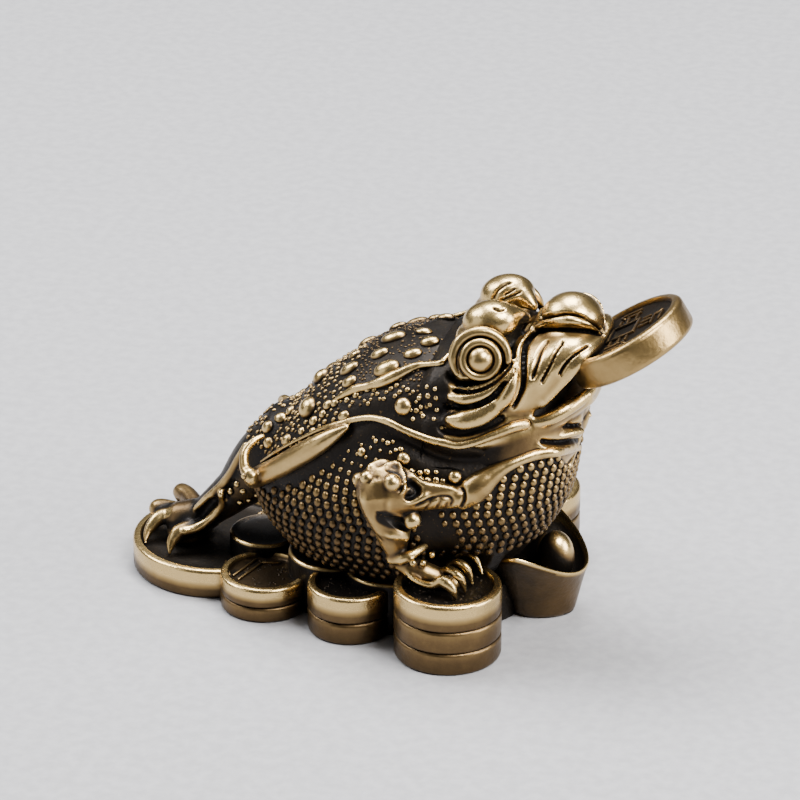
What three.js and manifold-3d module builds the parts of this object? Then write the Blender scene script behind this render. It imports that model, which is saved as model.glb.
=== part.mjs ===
import * as THREE from 'three';
import { mergeVertices } from 'three/addons/utils/BufferGeometryUtils.js';
import Module from 'manifold-3d';

// A money toad cast in brass, on a bed of coins with a boat-shaped ingot in front.
// Millimetres, +Z up. It faces +X, its left is +Y, and the origin is on the flat underside.

// Driving sizes
const figureLength = 49; // rear of the bed to the tip of the coin in the mouth
const grooveWidth = 0.42; // line between two stacked coins
const grooveDepth = 0.3;
const rimWidth = 0.8; // raised edge of a coin
const rimRise = 0.45;

const slabRadius = 7.4; // single large coin under the hind foot
const slabThickness = 2.2;

const rearCoinRadius = 3.85; // low stack beside the slab
const rearCoinThickness = 1.35;
const midCoinRadius = 3.65; // taller stack beside the belly
const midCoinThickness = 1.95;
const sideStackCoins = 2;

const frontCoinRadius = 4.53; // stacks that carry the front feet
const frontCoinThickness = 2.0;
const frontStackCoins = 3;

const bedTop = 4.6; // upper layer of coins, on which the belly rests
const mouthCoinRadius = 5.5;
const mouthCoinThickness = 2.6;
const mouthCoinTilt = 31.8; // degrees, tip up
const ingotHeight = 4.5; // at the middle of its rim
const ingotHornRise = 2.7; // its two ends above that
const ingotWidth = 8.2; // along X
const ingotLength = 11.4; // along Y

// The free forms are laid out on a length of 49 parts, above the bed
const part = figureLength / 49;
const seat = 4.6;
const at = (x, y, z) => new THREE.Vector3(x * part, y * part, bedTop + (z - seat) * part);
const slabX = -16.2 * part;
const frontStackX = 7.6 * part;
const frontStackY = 9.9 * part;
const ingotX = 12.9 * part;

const wasm = await Module();
wasm.setup();

// Solids and their joins

function solidOf(geometry) {
  geometry.deleteAttribute('normal');
  geometry.deleteAttribute('uv');
  const merged = mergeVertices(geometry, 1e-4);
  const index = merged.index.array;
  const kept = [];
  for (let i = 0; i < index.length; i += 3) {
    const [a, b, c] = [index[i], index[i + 1], index[i + 2]];
    if (a !== b && b !== c && c !== a) kept.push(a, b, c);
  }
  const position = merged.attributes.position.array;
  const corner = (i) => new THREE.Vector3().fromArray(position, 3 * i);
  let volume = 0;
  for (let i = 0; i < kept.length; i += 3) {
    volume += corner(kept[i]).dot(corner(kept[i + 1]).cross(corner(kept[i + 2])));
  }
  if (volume < 0) kept.reverse();
  return new wasm.Manifold(new wasm.Mesh({
    numProp: 3,
    vertProperties: new Float32Array(position),
    triVerts: new Uint32Array(kept),
  }));
}

function joined(solids) {
  return solids.reduce((whole, solid) => whole.add(solid));
}

function geometryOf(solid) {
  const mesh = solid.getMesh();
  const geometry = new THREE.BufferGeometry();
  geometry.setAttribute('position', new THREE.BufferAttribute(mesh.vertProperties, 3));
  geometry.setIndex(new THREE.BufferAttribute(mesh.triVerts, 1));
  return geometry;
}

// A skin over a row of rings, closed at both ends with a fan
function loft(rings) {
  const around = rings[0].length;
  const points = rings.flat();
  const middle = (ring) => ring.reduce((sum, p) => sum.add(p), new THREE.Vector3())
    .divideScalar(around);
  const faces = [];
  for (let i = 0; i + 1 < rings.length; i += 1) {
    for (let j = 0; j < around; j += 1) {
      const a = i * around + j;
      const b = i * around + (j + 1) % around;
      faces.push(a, b, b + around, a, b + around, a + around);
    }
  }
  const [first, last] = [points.length, points.length + 1];
  points.push(middle(rings[0]), middle(rings[rings.length - 1]));
  const end = (rings.length - 1) * around;
  for (let j = 0; j < around; j += 1) {
    const k = (j + 1) % around;
    faces.push(first, k, j, last, end + j, end + k);
  }
  const geometry = new THREE.BufferGeometry().setFromPoints(points);
  geometry.setIndex(faces);
  return solidOf(geometry);
}

// Rows of values at stations, read anywhere between them
function reader(rows) {
  const stations = rows.map((row) => row[0]);
  const values = rows.flatMap((row) => row.slice(1));
  const curve = new THREE.CubicInterpolant(stations, values, rows[0].length - 1);
  return (station) => Array.from(curve.evaluate(station));
}

const power = (value, exponent) => Math.sign(value) * Math.abs(value) ** exponent;

// A tapered tube with round ends
function tube(points, radii, sides, steps) {
  const curve = new THREE.CatmullRomCurve3(points, false, 'centripetal');
  const frames = curve.computeFrenetFrames(steps, false);
  const radiusAt = reader(radii.map((r, i) => [i / (radii.length - 1), r * part]));
  const ring = (centre, i, radius) => Array.from({ length: sides }, (_, j) => {
    const angle = (2 * Math.PI * j) / sides;
    const offset = frames.normals[i].clone().multiplyScalar(Math.cos(angle) * radius)
      .addScaledVector(frames.binormals[i], Math.sin(angle) * radius);
    return offset.add(centre);
  });
  const rings = [];
  for (let i = 0; i <= steps; i += 1) {
    const [radius] = radiusAt(i / steps);
    const centre = curve.getPoint(i / steps);
    const shift = (share) => centre.clone().addScaledVector(frames.tangents[i], share * radius);
    if (i === 0) rings.push(ring(shift(-0.7), i, radius * 0.55));
    rings.push(ring(centre, i, radius));
    if (i === steps) rings.push(ring(shift(0.7), i, radius * 0.55));
  }
  return loft(rings);
}

// An egg of given half sizes; detail is its count of faces round the middle
function egg(centre, [rx, ry, rz], detail) {
  const geometry = new THREE.SphereGeometry(1, detail, Math.ceil(detail * 0.6));
  geometry.rotateX(Math.PI / 2);
  geometry.scale(rx * part, ry * part, rz * part);
  geometry.translate(centre.x, centre.y, centre.z);
  return solidOf(geometry);
}

// Turned about a vertical axis from a profile of radius and height
function turned(profile, sides, x, y) {
  const geometry = new THREE.LatheGeometry(profile.map(([r, z]) => new THREE.Vector2(r, z)), sides);
  geometry.rotateX(Math.PI / 2);
  geometry.translate(x, y, 0);
  return solidOf(geometry);
}

// Bed of coins

// A stack is turned in one piece, with a line between coins and a raised rim on top
function coinStack([x, y], radius, thickness, count, sides) {
  const half = grooveWidth / 2;
  const face = count * thickness;
  const profile = [[0, 0], [radius, 0]];
  for (let i = 1; i < count; i += 1) {
    const line = i * thickness;
    profile.push([radius, line - half], [radius - grooveDepth, line], [radius, line + half]);
  }
  profile.push([radius, face + rimRise], [radius - rimWidth, face], [0, face]);
  return turned(profile, sides, x, y);
}

const sideX = frontStackX - frontCoinRadius - midCoinRadius - 1.1;
const rearX = sideX - midCoinRadius - rearCoinRadius - 0.7;
const frontStackAt = (side) => [frontStackX + 0.7 + side * 0.9, side * frontStackY];

function coinBed() {
  const parts = [coinStack([slabX, 0.6], slabRadius, slabThickness, 1, 24)];
  for (const side of [-1, 1]) {
    parts.push(
      coinStack(frontStackAt(side), frontCoinRadius, frontCoinThickness, frontStackCoins, 18),
      coinStack([sideX, side * (frontStackY - 2)], midCoinRadius, midCoinThickness,
        sideStackCoins, 14),
      coinStack([rearX, side * (frontStackY - 4)], rearCoinRadius, rearCoinThickness,
        sideStackCoins, 14),
    );
    const upper = [[rearX - 1, 1.2], [rearX + 4.6, 4.2], [sideX + 2.1, 5.2]];
    upper.forEach(([x, y], i) => {
      const face = bedTop - rimRise + 0.25 * (i - 1);
      parts.push(coinStack([x, side * y], rearCoinRadius + 0.1, face, 1, 12));
    });
  }
  const [rear, front] = [slabX + slabRadius - 1.5, frontStackX + frontCoinRadius - 0.6];
  const core = new THREE.CylinderGeometry(1, 1, bedTop - 1, 22);
  core.rotateX(Math.PI / 2);
  core.scale((front - rear) / 2, frontStackY - frontCoinRadius * 0.4, 1);
  core.translate((front + rear) / 2, 0, (bedTop - 1) / 2);
  parts.push(solidOf(core));
  return joined(parts);
}

// Boat-shaped ingot across the front, with its dome
function ingot() {
  const [halfX, halfY] = [ingotWidth / 2, ingotLength / 2];
  const around = 22;
  const level = (share, [alongX, alongY], drop) => Array.from({ length: around }, (_, j) => {
    const angle = (2 * Math.PI * j) / around;
    const rim = ingotHeight + ingotHornRise * Math.abs(Math.sin(angle)) ** 2.4;
    const x = ingotX + halfX * alongX * power(Math.cos(angle), 1.15);
    return new THREE.Vector3(x, halfY * alongY * Math.sin(angle), rim * share - drop);
  });
  const hull = loft([
    level(0, [0.72, 0.42], 0),
    level(0.5, [0.85, 0.64], 0),
    level(0.95, [1, 0.98], 0),
    level(1, [0.92, 0.93], 0),
    level(0.92, [0.78, 0.8], 0.6),
    level(0.7, [0.4, 0.4], 0.2),
  ]);
  const dome = egg(new THREE.Vector3(ingotX + 1.3, 0, ingotHeight + 0.4), [1.6, 1.6, 2.4], 8);
  return hull.add(dome);
}

// Body of the toad

const trunkShape = reader([
  [3.4, -7.5, 9.0, 6.6],
  [5.5, -9.6, 11.2, 8.4],
  [8, -11.6, 13.3, 9.5],
  [11, -12.2, 15.0, 9.8],
  [14, -10.9, 15.6, 9.5],
  [17, -8.5, 16.0, 9.0],
  [19.5, -6.3, 15.7, 8.3],
  [21.8, -3.5, 14.3, 7.2],
  [23.6, -0.9, 12.4, 5.4],
  [24.9, 2.4, 10.5, 3.2],
]);

// A point of the skin of the trunk, at a height and an angle from the front
function skin(z, angle, out = 0) {
  const [back, front, half] = trunkShape(z);
  const middle = back + (front - back) * 0.56;
  const [c, s] = [Math.cos(angle), Math.sin(angle)];
  const reach = (c > 0 ? front - middle : middle - back) + out;
  return at(middle + reach * power(c, 0.95), (half + out) * power(s, c > 0 ? 0.82 : 1.0), z);
}

// A fat drop leaning back, in level rings
function trunk() {
  const around = 24;
  const heights = [3.4, 5.5, 8, 11, 14.5, 18, 21, 23.4, 24.9];
  return loft(heights.map((z) => Array.from({ length: around }, (_, j) => (
    skin(z, (2 * Math.PI * j) / around)))));
}

// Upright rings along the head, from rows of X, top, bottom and half width
function muzzleLoft(rows, places, around, roundness) {
  const shape = reader(rows);
  return loft(places.map((x) => Array.from({ length: around }, (_, j) => {
    const [top, bottom, half] = shape(x);
    const angle = (2 * Math.PI * j) / around;
    const z = (top + bottom) / 2 + ((top - bottom) / 2) * power(Math.sin(angle), roundness);
    return at(x, half * power(Math.cos(angle), roundness), z);
  })));
}

function head() {
  return muzzleLoft([
    [2, 23.4, 17.0, 7.0],
    [5, 25.0, 17.6, 7.5],
    [8, 25.8, 17.8, 7.2],
    [11, 26.0, 18.3, 6.7],
    [13.5, 26.6, 19.6, 6.0],
    [15.5, 27.4, 21.9, 5.1],
    [17.4, 27.0, 24.2, 4.0],
    [18.4, 26.0, 25.0, 2.4],
  ], [2, 5.5, 9, 12, 14.4, 16, 17.4, 18.4], 16, 0.8);
}

function lowerJaw() {
  return muzzleLoft([
    [5, 20.0, 16.0, 7.2],
    [9, 20.0, 16.8, 7.4],
    [13, 20.6, 17.8, 6.3],
    [16, 21.9, 19.2, 4.4],
    [18.0, 22.6, 20.6, 2.2],
  ], [5, 8.5, 11.5, 14, 16, 17.3, 18], 14, 0.8);
}

function nose() {
  return egg(at(15.3, 0, 26.9), [2.7, 2.9, 2.2], 11);
}

// Coin held in the mouth, with a raised rim round a sunk face and a square hole mark
function mouthCoin() {
  const [r, t] = [mouthCoinRadius, mouthCoinThickness];
  const sunk = rimRise;
  const profile = [[0, -t], [r - 0.3, -t], [r, 0.3 - t], [r, -0.3], [r - 0.3, 0],
    [r - rimWidth, 0], [r - rimWidth - 0.2, -sunk], [0, -sunk]];
  const coin = new THREE.LatheGeometry(profile.map(([x, z]) => new THREE.Vector2(x, z)), 28);
  coin.rotateX(Math.PI / 2);
  const hole = new THREE.BoxGeometry(r * 0.42, r * 0.42, sunk);
  hole.translate(0, 0, -sunk);
  const centre = at(19.5, 0, 27);
  return solidOf(coin).subtract(solidOf(hole)).rotate([0, -mouthCoinTilt, 0])
    .translate([centre.x, centre.y, centre.z]);
}

// One side of the face: eye, lid, brow and the two folds of the cheek
function face(side) {
  const axis = new THREE.Vector3(0.25, side * 0.9, 0.36).normalize();
  const across = new THREE.Vector3(0.96, -side * 0.25, 0).normalize();
  const up = new THREE.Vector3().crossVectors(axis, across).multiplyScalar(-side).normalize();
  const eye = at(8.9, side * 5.9, 25.4);
  const lifted = (lift) => eye.clone().addScaledVector(axis, lift * part);
  const arc = (radius, from, to, lift, count) => Array.from({ length: count }, (_, i) => {
    const angle = THREE.MathUtils.degToRad(from + ((to - from) * i) / (count - 1));
    return lifted(lift).addScaledVector(across, radius * part * Math.cos(angle))
      .addScaledVector(up, radius * part * Math.sin(angle));
  });
  const ring = new THREE.TorusGeometry(1.3 * part, 0.4 * part, 4, 12);
  ring.lookAt(axis);
  ring.translate(...lifted(0.75));
  return joined([
    egg(lifted(-0.4), [2.1, 1.6, 2.1], 7),
    egg(lifted(0.7), [0.95, 0.95, 0.95], 8),
    solidOf(ring),
    tube(arc(2.3, -30, 210, 0.4, 7), [0.35, 0.5, 0.5, 0.35], 5, 7),
    tube(arc(3.0, 195, 330, 0, 5), [0.35, 0.5, 0.3], 4, 5),
    tube(arc(4.6, 195, 325, -0.2, 5), [0.6, 1.1, 0.5], 5, 5),
    egg(at(9.2, side * 2.6, 26.5), [2.6, 2.2, 2.1], 9),
  ]);
}

// Band along the edge of the back skin, from the corner of the mouth to the hip
function capeEdge(side) {
  const route = [[13.2, 5.8, 20.0], [9.7, 8.1, 18.7], [6.4, 8.9, 18.8], [2.9, 9.1, 20.1],
    [0.2, 9.1, 20.0], [-3.2, 8.9, 17.1], [-6.8, 8.2, 14.2], [-10.0, 6.6, 12.1],
    [-11.6, 4.8, 12.5], [-11.8, 3.8, 14.0]];
  const points = route.map(([x, y, z]) => at(x, side * y, z));
  return tube(points, [0.5, 0.55, 0.55, 0.6, 0.9, 1.2, 1.2, 0.8], 5, 12);
}

// Raised line from the eye down the shoulder
function backRidge(side) {
  const route = [[7, 6.2, 24.0], [4.4, 6.5, 22.8], [1.6, 6.7, 21.2], [-1.4, 6.6, 19.6],
    [-4.4, 6.2, 17.4]];
  return tube(route.map(([x, y, z]) => at(x, side * y, z)), [0.6, 0.8, 0.8, 0.4], 4, 5);
}

// Warts of the back in staggered rows up the slope
function warts() {
  const rows = [[13.4, 4, 0.85], [16.0, 5, 0.95], [18.6, 5, 1.05], [20.9, 4, 1.1], [22.9, 3, 1.0]];
  return joined(rows.flatMap(([z, count, size], row) => Array.from({ length: count }, (_, i) => {
    const angle = Math.PI + ((i - (count - 1) / 2) + (row % 2) * 0.3) * 0.36;
    return egg(skin(z, angle, 0.05), [size, size, size * 0.75], 5);
  })));
}

// Front leg and clawed foot, planted on its stack of coins
function frontLeg(side) {
  const [stackX, stackY] = frontStackAt(side);
  const place = (x, y, z) => at(x, side * y, z);
  const foot = (x, y, z) => new THREE.Vector3(stackX + x, stackY + side * y, frontTop + z);
  const frontTop = frontStackCoins * frontCoinThickness;
  const wrist = foot(-3.1, 0.4, 2.2);
  const solids = [
    tube([place(11.2, 7.4, 14.4), place(8.2, 9.2, 14.4), place(4.8, 10.2, 14.4),
      place(2.4, 10.6, 14.4)], [1.2, 1.4, 1.6, 2.4], 6, 4),
    tube([place(2.2, 10.6, 14.5), place(2.1, 10.8, 12.4), place(3.0, 10.7, 10.2), wrist],
      [2.5, 2.4, 2.0, 1.1], 7, 5),
    tube([wrist, foot(-1.6, 0.5, 1.4), foot(-0.4, 0.3, 0.8)], [1.1, 1.3, 1.1], 6, 2),
    tube([place(11.2, 7.8, 14.4), place(13.6, 6.3, 15.6), place(15.8, 3.6, 16.4),
      place(16.7, 0, 16.7)], [1.0, 0.7, 0.6, 0.5], 4, 5),
  ];
  for (let i = 0; i < 4; i += 1) {
    const y = 2.2 - 1.55 * i;
    const x = 1.0 + 0.55 * i;
    solids.push(tube([foot(-0.8, 0.4 + y * 0.3, 1.0), foot(x - 0.5, y * 0.9 + 0.2, 1.15),
      foot(x + 0.5, y, 0.6), foot(x + 1, y + 0.1, 0.1)], [0.65, 0.6, 0.5, 0.25], 4, 4));
  }
  return joined(solids);
}

// Third leg, trailing behind on the slab, with its toes
function hindLeg() {
  const foot = (x, y, z) => new THREE.Vector3(slabX + x, y, slabThickness + z);
  const ankle = foot(-0.8, -0.4, 2.6);
  const solids = [
    tube([at(-8.6, 0, 12.6), at(-11.6, -0.2, 10.4), at(-14.2, -0.4, 7.6), ankle],
      [4.0, 3.0, 1.9, 1.5], 9, 5),
    tube([ankle, foot(-3.2, -0.2, 1.9)], [1.6, 1.5], 8, 2),
  ];
  const toes = [[-1.9, -4.6, -5.4], [-4.8, -3.0, -4.3], [-5.6, 0.9, 1.4], [-4.6, 4.4, 5.2]];
  for (const [x, knuckle, tip] of toes) {
    solids.push(tube([foot(-1.8, knuckle * 0.25, 1.7), foot(x * 0.75, knuckle * 0.75, 2.1),
      foot(x, knuckle, 1.9), foot(x - 0.25, tip, 0.1)], [1.0, 0.8, 0.75, 0.3], 5, 4));
  }
  return joined(solids);
}

function moneyToad() {
  const sides = [-1, 1].flatMap((side) => [face(side), capeEdge(side), backRidge(side),
    frontLeg(side)]);
  return joined([trunk(), head(), lowerJaw(), nose(), ...sides, warts(), hindLeg(), coinBed(),
    ingot(), mouthCoin()]);
}

const brass = new THREE.MeshStandardMaterial({ color: 0xb08d4a, metalness: 1, roughness: 0.35 });
const figure = new THREE.Mesh(geometryOf(moneyToad()), brass);
figure.name = 'money_toad';

const group = new THREE.Group();
group.add(figure);

export default group;
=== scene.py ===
import math
import bpy
import numpy as np
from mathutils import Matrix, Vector
from mathutils.bvhtree import BVHTree


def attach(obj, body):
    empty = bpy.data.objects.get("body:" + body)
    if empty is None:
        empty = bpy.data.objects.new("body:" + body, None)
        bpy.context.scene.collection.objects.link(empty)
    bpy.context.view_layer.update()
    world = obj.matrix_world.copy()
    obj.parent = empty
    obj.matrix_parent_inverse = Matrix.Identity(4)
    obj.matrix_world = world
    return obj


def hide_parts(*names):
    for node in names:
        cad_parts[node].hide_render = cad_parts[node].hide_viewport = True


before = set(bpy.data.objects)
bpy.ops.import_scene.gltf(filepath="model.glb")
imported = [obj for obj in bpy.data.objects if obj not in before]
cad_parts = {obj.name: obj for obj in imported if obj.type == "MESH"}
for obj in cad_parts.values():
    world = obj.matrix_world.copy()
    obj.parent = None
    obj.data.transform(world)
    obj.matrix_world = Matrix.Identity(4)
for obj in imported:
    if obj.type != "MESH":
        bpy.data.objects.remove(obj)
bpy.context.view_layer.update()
dice = np.random.default_rng(11)  # the same scatter on each run

# Everything is modelled in millimetres and brought to metres when a piece is finished

# camera at the angle of the photograph, with its picture taken as 800 by 800

shot = {
    "azimuth": 16.0,
    "elevation": 25.63,
    "distance": 400.0,
    "target": (0.41, 0.0, 17.87),
    "focal": 4730.0,  # in picture points
    "middle": 400.0,
}


def shotAxes():
    turn, rise = math.radians(shot["azimuth"]), math.radians(shot["elevation"])
    back = np.array([math.sin(turn) * math.cos(rise), -math.cos(turn) * math.cos(rise), math.sin(rise)])
    right = np.array([math.cos(turn), math.sin(turn), 0.0])
    up = np.cross(back, right)
    return right, up, back, np.array(shot["target"]) + back * shot["distance"]


def sightLine(px, py):
    right, up, back, eye = shotAxes()
    way = right * (px - shot["middle"]) + up * (shot["middle"] - py) - back * shot["focal"]
    return eye, way / np.linalg.norm(way)


def atHeight(px, py, z):  # the place at a height that shows at a picture point
    eye, way = sightLine(px, py)
    return eye + way * (z - eye[2]) / way[2]


def atSide(px, py, y):
    eye, way = sightLine(px, py)
    return eye + way * (y - eye[1]) / way[1]


def addCamera():
    right, up, back, eye = shotAxes()
    data = bpy.data.cameras.new("camera")
    data.sensor_width = 36
    data.lens = shot["focal"] / (2 * shot["middle"]) * 36
    data.clip_start, data.clip_end = 0.01, 20
    camera = bpy.data.objects.new("camera", data)
    bpy.context.collection.objects.link(camera)
    camera.location = Vector(eye) / 1000
    camera.rotation_euler = Vector(back).to_track_quat("Z", "Y").to_euler()
    bpy.context.scene.camera = camera


addCamera()


# small tools

def pick(*things):
    bpy.ops.object.select_all(action="DESELECT")
    for thing in things:
        thing.select_set(True)
    bpy.context.view_layer.objects.active = things[0]


def settle(thing):
    pick(thing)
    bpy.ops.object.transform_apply(location=True, rotation=True, scale=True)
    return thing


def finishWith(thing, kind, **settings):
    pick(thing)
    modifier = thing.modifiers.new(kind.title(), kind)
    for key, value in settings.items():
        setattr(modifier, key, value)
    bpy.ops.object.modifier_apply(modifier=modifier.name)
    return thing


def selectFaces(thing, test):  # leaves edit mode on, with only these faces selected
    if bpy.context.mode == "OBJECT":
        pick(thing)
        bpy.ops.object.mode_set(mode="EDIT")
    bpy.ops.mesh.select_mode(type="FACE")
    bpy.ops.mesh.select_all(action="DESELECT")
    bpy.ops.object.mode_set(mode="OBJECT")
    for face in thing.data.polygons:
        face.select = test(face)
    bpy.ops.object.mode_set(mode="EDIT")


def joinAs(name, things):
    pick(*things)
    bpy.ops.object.join()
    whole = bpy.context.active_object
    whole.name = whole.data.name = name
    return whole


def pointsOf(thing):
    points = np.empty(len(thing.data.vertices) * 3)
    thing.data.vertices.foreach_get("co", points)
    return points.reshape(-1, 3)


def movePoints(thing, points):
    thing.data.vertices.foreach_set("co", np.ascontiguousarray(points).ravel())
    thing.data.update()


def normalsOf(thing):
    normals = np.empty(len(thing.data.vertices) * 3)
    thing.data.vertices.foreach_get("normal", normals)
    return normals.reshape(-1, 3)


def edgesOf(thing):
    edges = np.empty(len(thing.data.edges) * 2, dtype=np.int32)
    thing.data.edges.foreach_get("vertices", edges)
    return edges.reshape(-1, 2)


def spread(values, edges, rounds):  # each value drifts to the mean of its neighbours
    values = np.array(values, float)
    count = np.maximum(np.bincount(edges.ravel(), minlength=len(values)), 1)
    for _ in range(rounds):
        for k in range(values.shape[1]):
            total = np.bincount(edges[:, 0], values[edges[:, 1], k], len(values))
            total += np.bincount(edges[:, 1], values[edges[:, 0], k], len(values))
            values[:, k] = (values[:, k] + total / count) / 2
    return values


def unit(rows):
    return rows / np.maximum(np.linalg.norm(rows, axis=-1, keepdims=True), 1e-9)


def step(values, low, high):
    t = np.clip((np.array(values, float) - low) / (high - low), 0, 1)
    return t * t * (3 - 2 * t)


def treeOf(*things):
    points, faces = [], []
    for thing in things:
        start = len(points)
        points += [v.co.copy() for v in thing.data.vertices]
        faces += [[start + i for i in face.vertices] for face in thing.data.polygons]
    return BVHTree.FromPolygons(points, faces)


def mirrored(rows):
    return np.array(rows, float) * (1, -1, 1)


def bothSides(rows):
    return np.array(rows, float), mirrored(rows)


def smoothLine(points, count, stations=False):  # an even run of places on a smooth line through a few
    p = np.array(points, float)
    p = np.vstack([2 * p[0] - p[1], p, 2 * p[-1] - p[-2]])
    t = np.linspace(0, 1, 16, endpoint=False)[:, None]
    runs = [0.5 * (2 * b + (c - a) * t + (2 * a - 5 * b + 4 * c - d) * t ** 2
                   + (3 * b - a - 3 * c + d) * t ** 3) for a, b, c, d in zip(p, p[1:], p[2:], p[3:])]
    line = np.vstack(runs + [p[-2][None]])
    far = np.r_[0, np.cumsum(np.linalg.norm(np.diff(line, axis=0), axis=1))]
    even = np.linspace(0, far[-1], count)
    run = np.column_stack([np.interp(even, far, line[:, k]) for k in range(line.shape[1])])
    return (run, far[::16] / far[-1]) if stations else run


def readRows(rows, places):  # values between stations, on a smooth curve
    rows, places = np.array(rows, float), np.atleast_1d(np.array(places, float))
    x, y = rows[:, 0], rows[:, 1:]
    slope = np.gradient(y, x, axis=0)
    i = np.clip(np.searchsorted(x, places) - 1, 0, len(x) - 2)
    span = (x[i + 1] - x[i])[:, None]
    t = np.clip((places[:, None] - x[i][:, None]) / span, 0, 1)
    return ((1 + 2 * t) * (1 - t) ** 2 * y[i] + t * (1 - t) ** 2 * span * slope[i]
            + t * t * (3 - 2 * t) * y[i + 1] + t * t * (t - 1) * span * slope[i + 1])


def addBall(centre, radii, turn=(0, 0, 0), segments=28, rings=18):
    bpy.ops.mesh.primitive_uv_sphere_add(segments=segments, ring_count=rings, radius=1, location=centre,
                                         rotation=[math.radians(a) for a in turn], scale=radii)
    return settle(bpy.context.active_object)


def addTube(points, radii, detail=3, steps=40):
    line, places = smoothLine(points, steps, stations=True)
    if len(radii) != len(points):
        places = np.linspace(0, 1, len(radii))
    radius = np.interp(np.linspace(0, 1, steps), places, radii)
    first, last = unit(line[0] - line[1]), unit(line[-1] - line[-2])
    ends = [(0.95, 0.3), (0.6, 0.8)]  # how far out a round end goes, and how thick it is there
    line = np.vstack([[line[0] + first * radius[0] * a for a, _ in ends], line,
                      [line[-1] + last * radius[-1] * a for a, _ in ends[::-1]]])
    radius = np.r_[[radius[0] * b for _, b in ends], radius, [radius[-1] * b for _, b in ends[::-1]]]
    curve = bpy.data.curves.new("tube", "CURVE")
    curve.dimensions, curve.bevel_depth = "3D", 1
    curve.bevel_resolution = max(detail, int(3 + 5 * max(radii)))
    curve.use_fill_caps = True
    run = curve.splines.new("POLY")
    run.points.add(len(line) - 1)
    for point, place, thick in zip(run.points, line, radius):
        point.co, point.radius = (*place, 1), thick
    tube = bpy.data.objects.new("tube", curve)
    bpy.context.collection.objects.link(tube)
    pick(tube)
    bpy.ops.object.convert(target="MESH")
    return bpy.context.active_object


def addSkin(name, rings):  # a closed skin over rings of places
    around = len(rings[0])
    points = [tuple(p) for ring in rings for p in ring]
    faces = [(i * around + j, i * around + (j + 1) % around, (i + 1) * around + (j + 1) % around,
              (i + 1) * around + j) for i in range(len(rings) - 1) for j in range(around)]
    faces += [tuple(range(around))[::-1], tuple(range(len(points) - around, len(points)))]
    mesh = bpy.data.meshes.new(name)
    mesh.from_pydata(points, [], faces)
    skin = bpy.data.objects.new(name, mesh)
    bpy.context.collection.objects.link(skin)
    pick(skin)
    bpy.ops.object.mode_set(mode="EDIT")
    bpy.ops.mesh.select_all(action="SELECT")
    bpy.ops.mesh.normals_make_consistent(inside=False)
    bpy.ops.object.mode_set(mode="OBJECT")
    return skin


def fuse(name, things, grain, rounds):  # one casting from overlapping lumps
    whole = joinAs(name, things)
    finishWith(whole, "REMESH", mode="VOXEL", voxel_size=grain)
    finishWith(whole, "SMOOTH", factor=0.5, iterations=rounds)
    return whole


def seenAt(px, py, tree):  # place and normal of the surface that shows at a picture point, or lies next to it
    eye, way = sightLine(px, py)
    place, normal, _, _ = tree.ray_cast(eye, way)
    if place is None:
        near = [tree.find_nearest(eye + way * far) for far in np.linspace(380, 420, 81)]
        place, normal, _, _ = min(near, key=lambda found: found[3])
    return np.array(place), np.array(normal)


def onSurface(line, tree, reach=3.0):  # picture points sent along their sight lines to the surface
    found = []
    for px, py in smoothLine(line, 30):
        eye, way = sightLine(px, py)
        place = tree.ray_cast(eye, way)[0]
        if place is not None:
            found.append(np.array(place))
    kept = [p for i, p in enumerate(found) if i == 0 or np.linalg.norm(p - found[i - 1]) < reach]
    return np.array(kept)


def onGuide(line, tree, out):  # like onSurface, but on an evened-out depth, brought towards the camera
    sights = [sightLine(px, py) for px, py in smoothLine(line, 24)]
    hits = [tree.ray_cast(eye, way)[3] for eye, way in sights]
    along = np.linspace(0, 1, len(sights))
    known = np.array([hit is not None for hit in hits])
    depth = np.polyval(np.polyfit(along[known], [hit for hit in hits if hit is not None], 2), along)
    return np.array([eye + way * (far - out) for (eye, way), far in zip(sights, depth)])


def strokesOn(tree, strokes):  # strokes over picture points, brought to the surface
    return [(onSurface(line, tree), width, depth) for line, width, depth in strokes]


def carve(thing, strokes):  # each stroke: a line of places, its half width, its rise or depth
    points, edges = pointsOf(thing), edgesOf(thing)
    normals = unit(spread(normalsOf(thing), edges, 4))
    lift = np.zeros(len(points))
    for line, width, depth in strokes:
        if len(line) < 2:
            continue
        long = np.linalg.norm(np.diff(line, axis=0), axis=1).sum()
        line = smoothLine(line, max(8, int(long / 0.07)))
        along = np.linspace(0, 1, len(line))
        fade = np.clip(np.minimum(along, 1 - along) * long / (1.6 * width), 0.02, 1) ** 0.6
        near = np.where(np.all((points > line.min(0) - 2.2 * width)
                               & (points < line.max(0) + 2.2 * width), axis=1))[0]
        for part in np.array_split(near, max(1, len(near) // 4000)):
            gap = np.linalg.norm(points[part, None] - line[None], axis=2)
            nearest = gap.argmin(1)
            share = gap[np.arange(len(part)), nearest] / (width * (0.45 + 0.55 * fade[nearest]))
            lift[part] += depth * fade[nearest] * np.exp(-share ** 2)
    movePoints(thing, points + normals * lift[:, None])


def reliefOf(thing, grain, reach):  # how far each point stands above its smoothed surroundings
    edges = edgesOf(thing)
    points = pointsOf(thing)
    rounds = max(3, int((reach / grain) ** 2 * 1.6))
    return np.einsum("ij,ij->i", points - spread(points, edges, rounds), normalsOf(thing))


# the wear attribute holds real wear and patina, and also painted shade and painted highlights
def setWearAndShading(thing, values):
    layer = thing.data.attributes.get("wear") or thing.data.attributes.new("wear", "FLOAT", "POINT")
    layer.data.foreach_set("value", np.clip(np.array(values, float), 0, 1))


def evenWear(thing, value):
    setWearAndShading(thing, np.full(len(thing.data.vertices), value))
    return thing


def getWearAndShading(thing):
    values = np.empty(len(thing.data.vertices))
    thing.data.attributes["wear"].data.foreach_get("value", values)
    return values


# trunk

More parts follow.
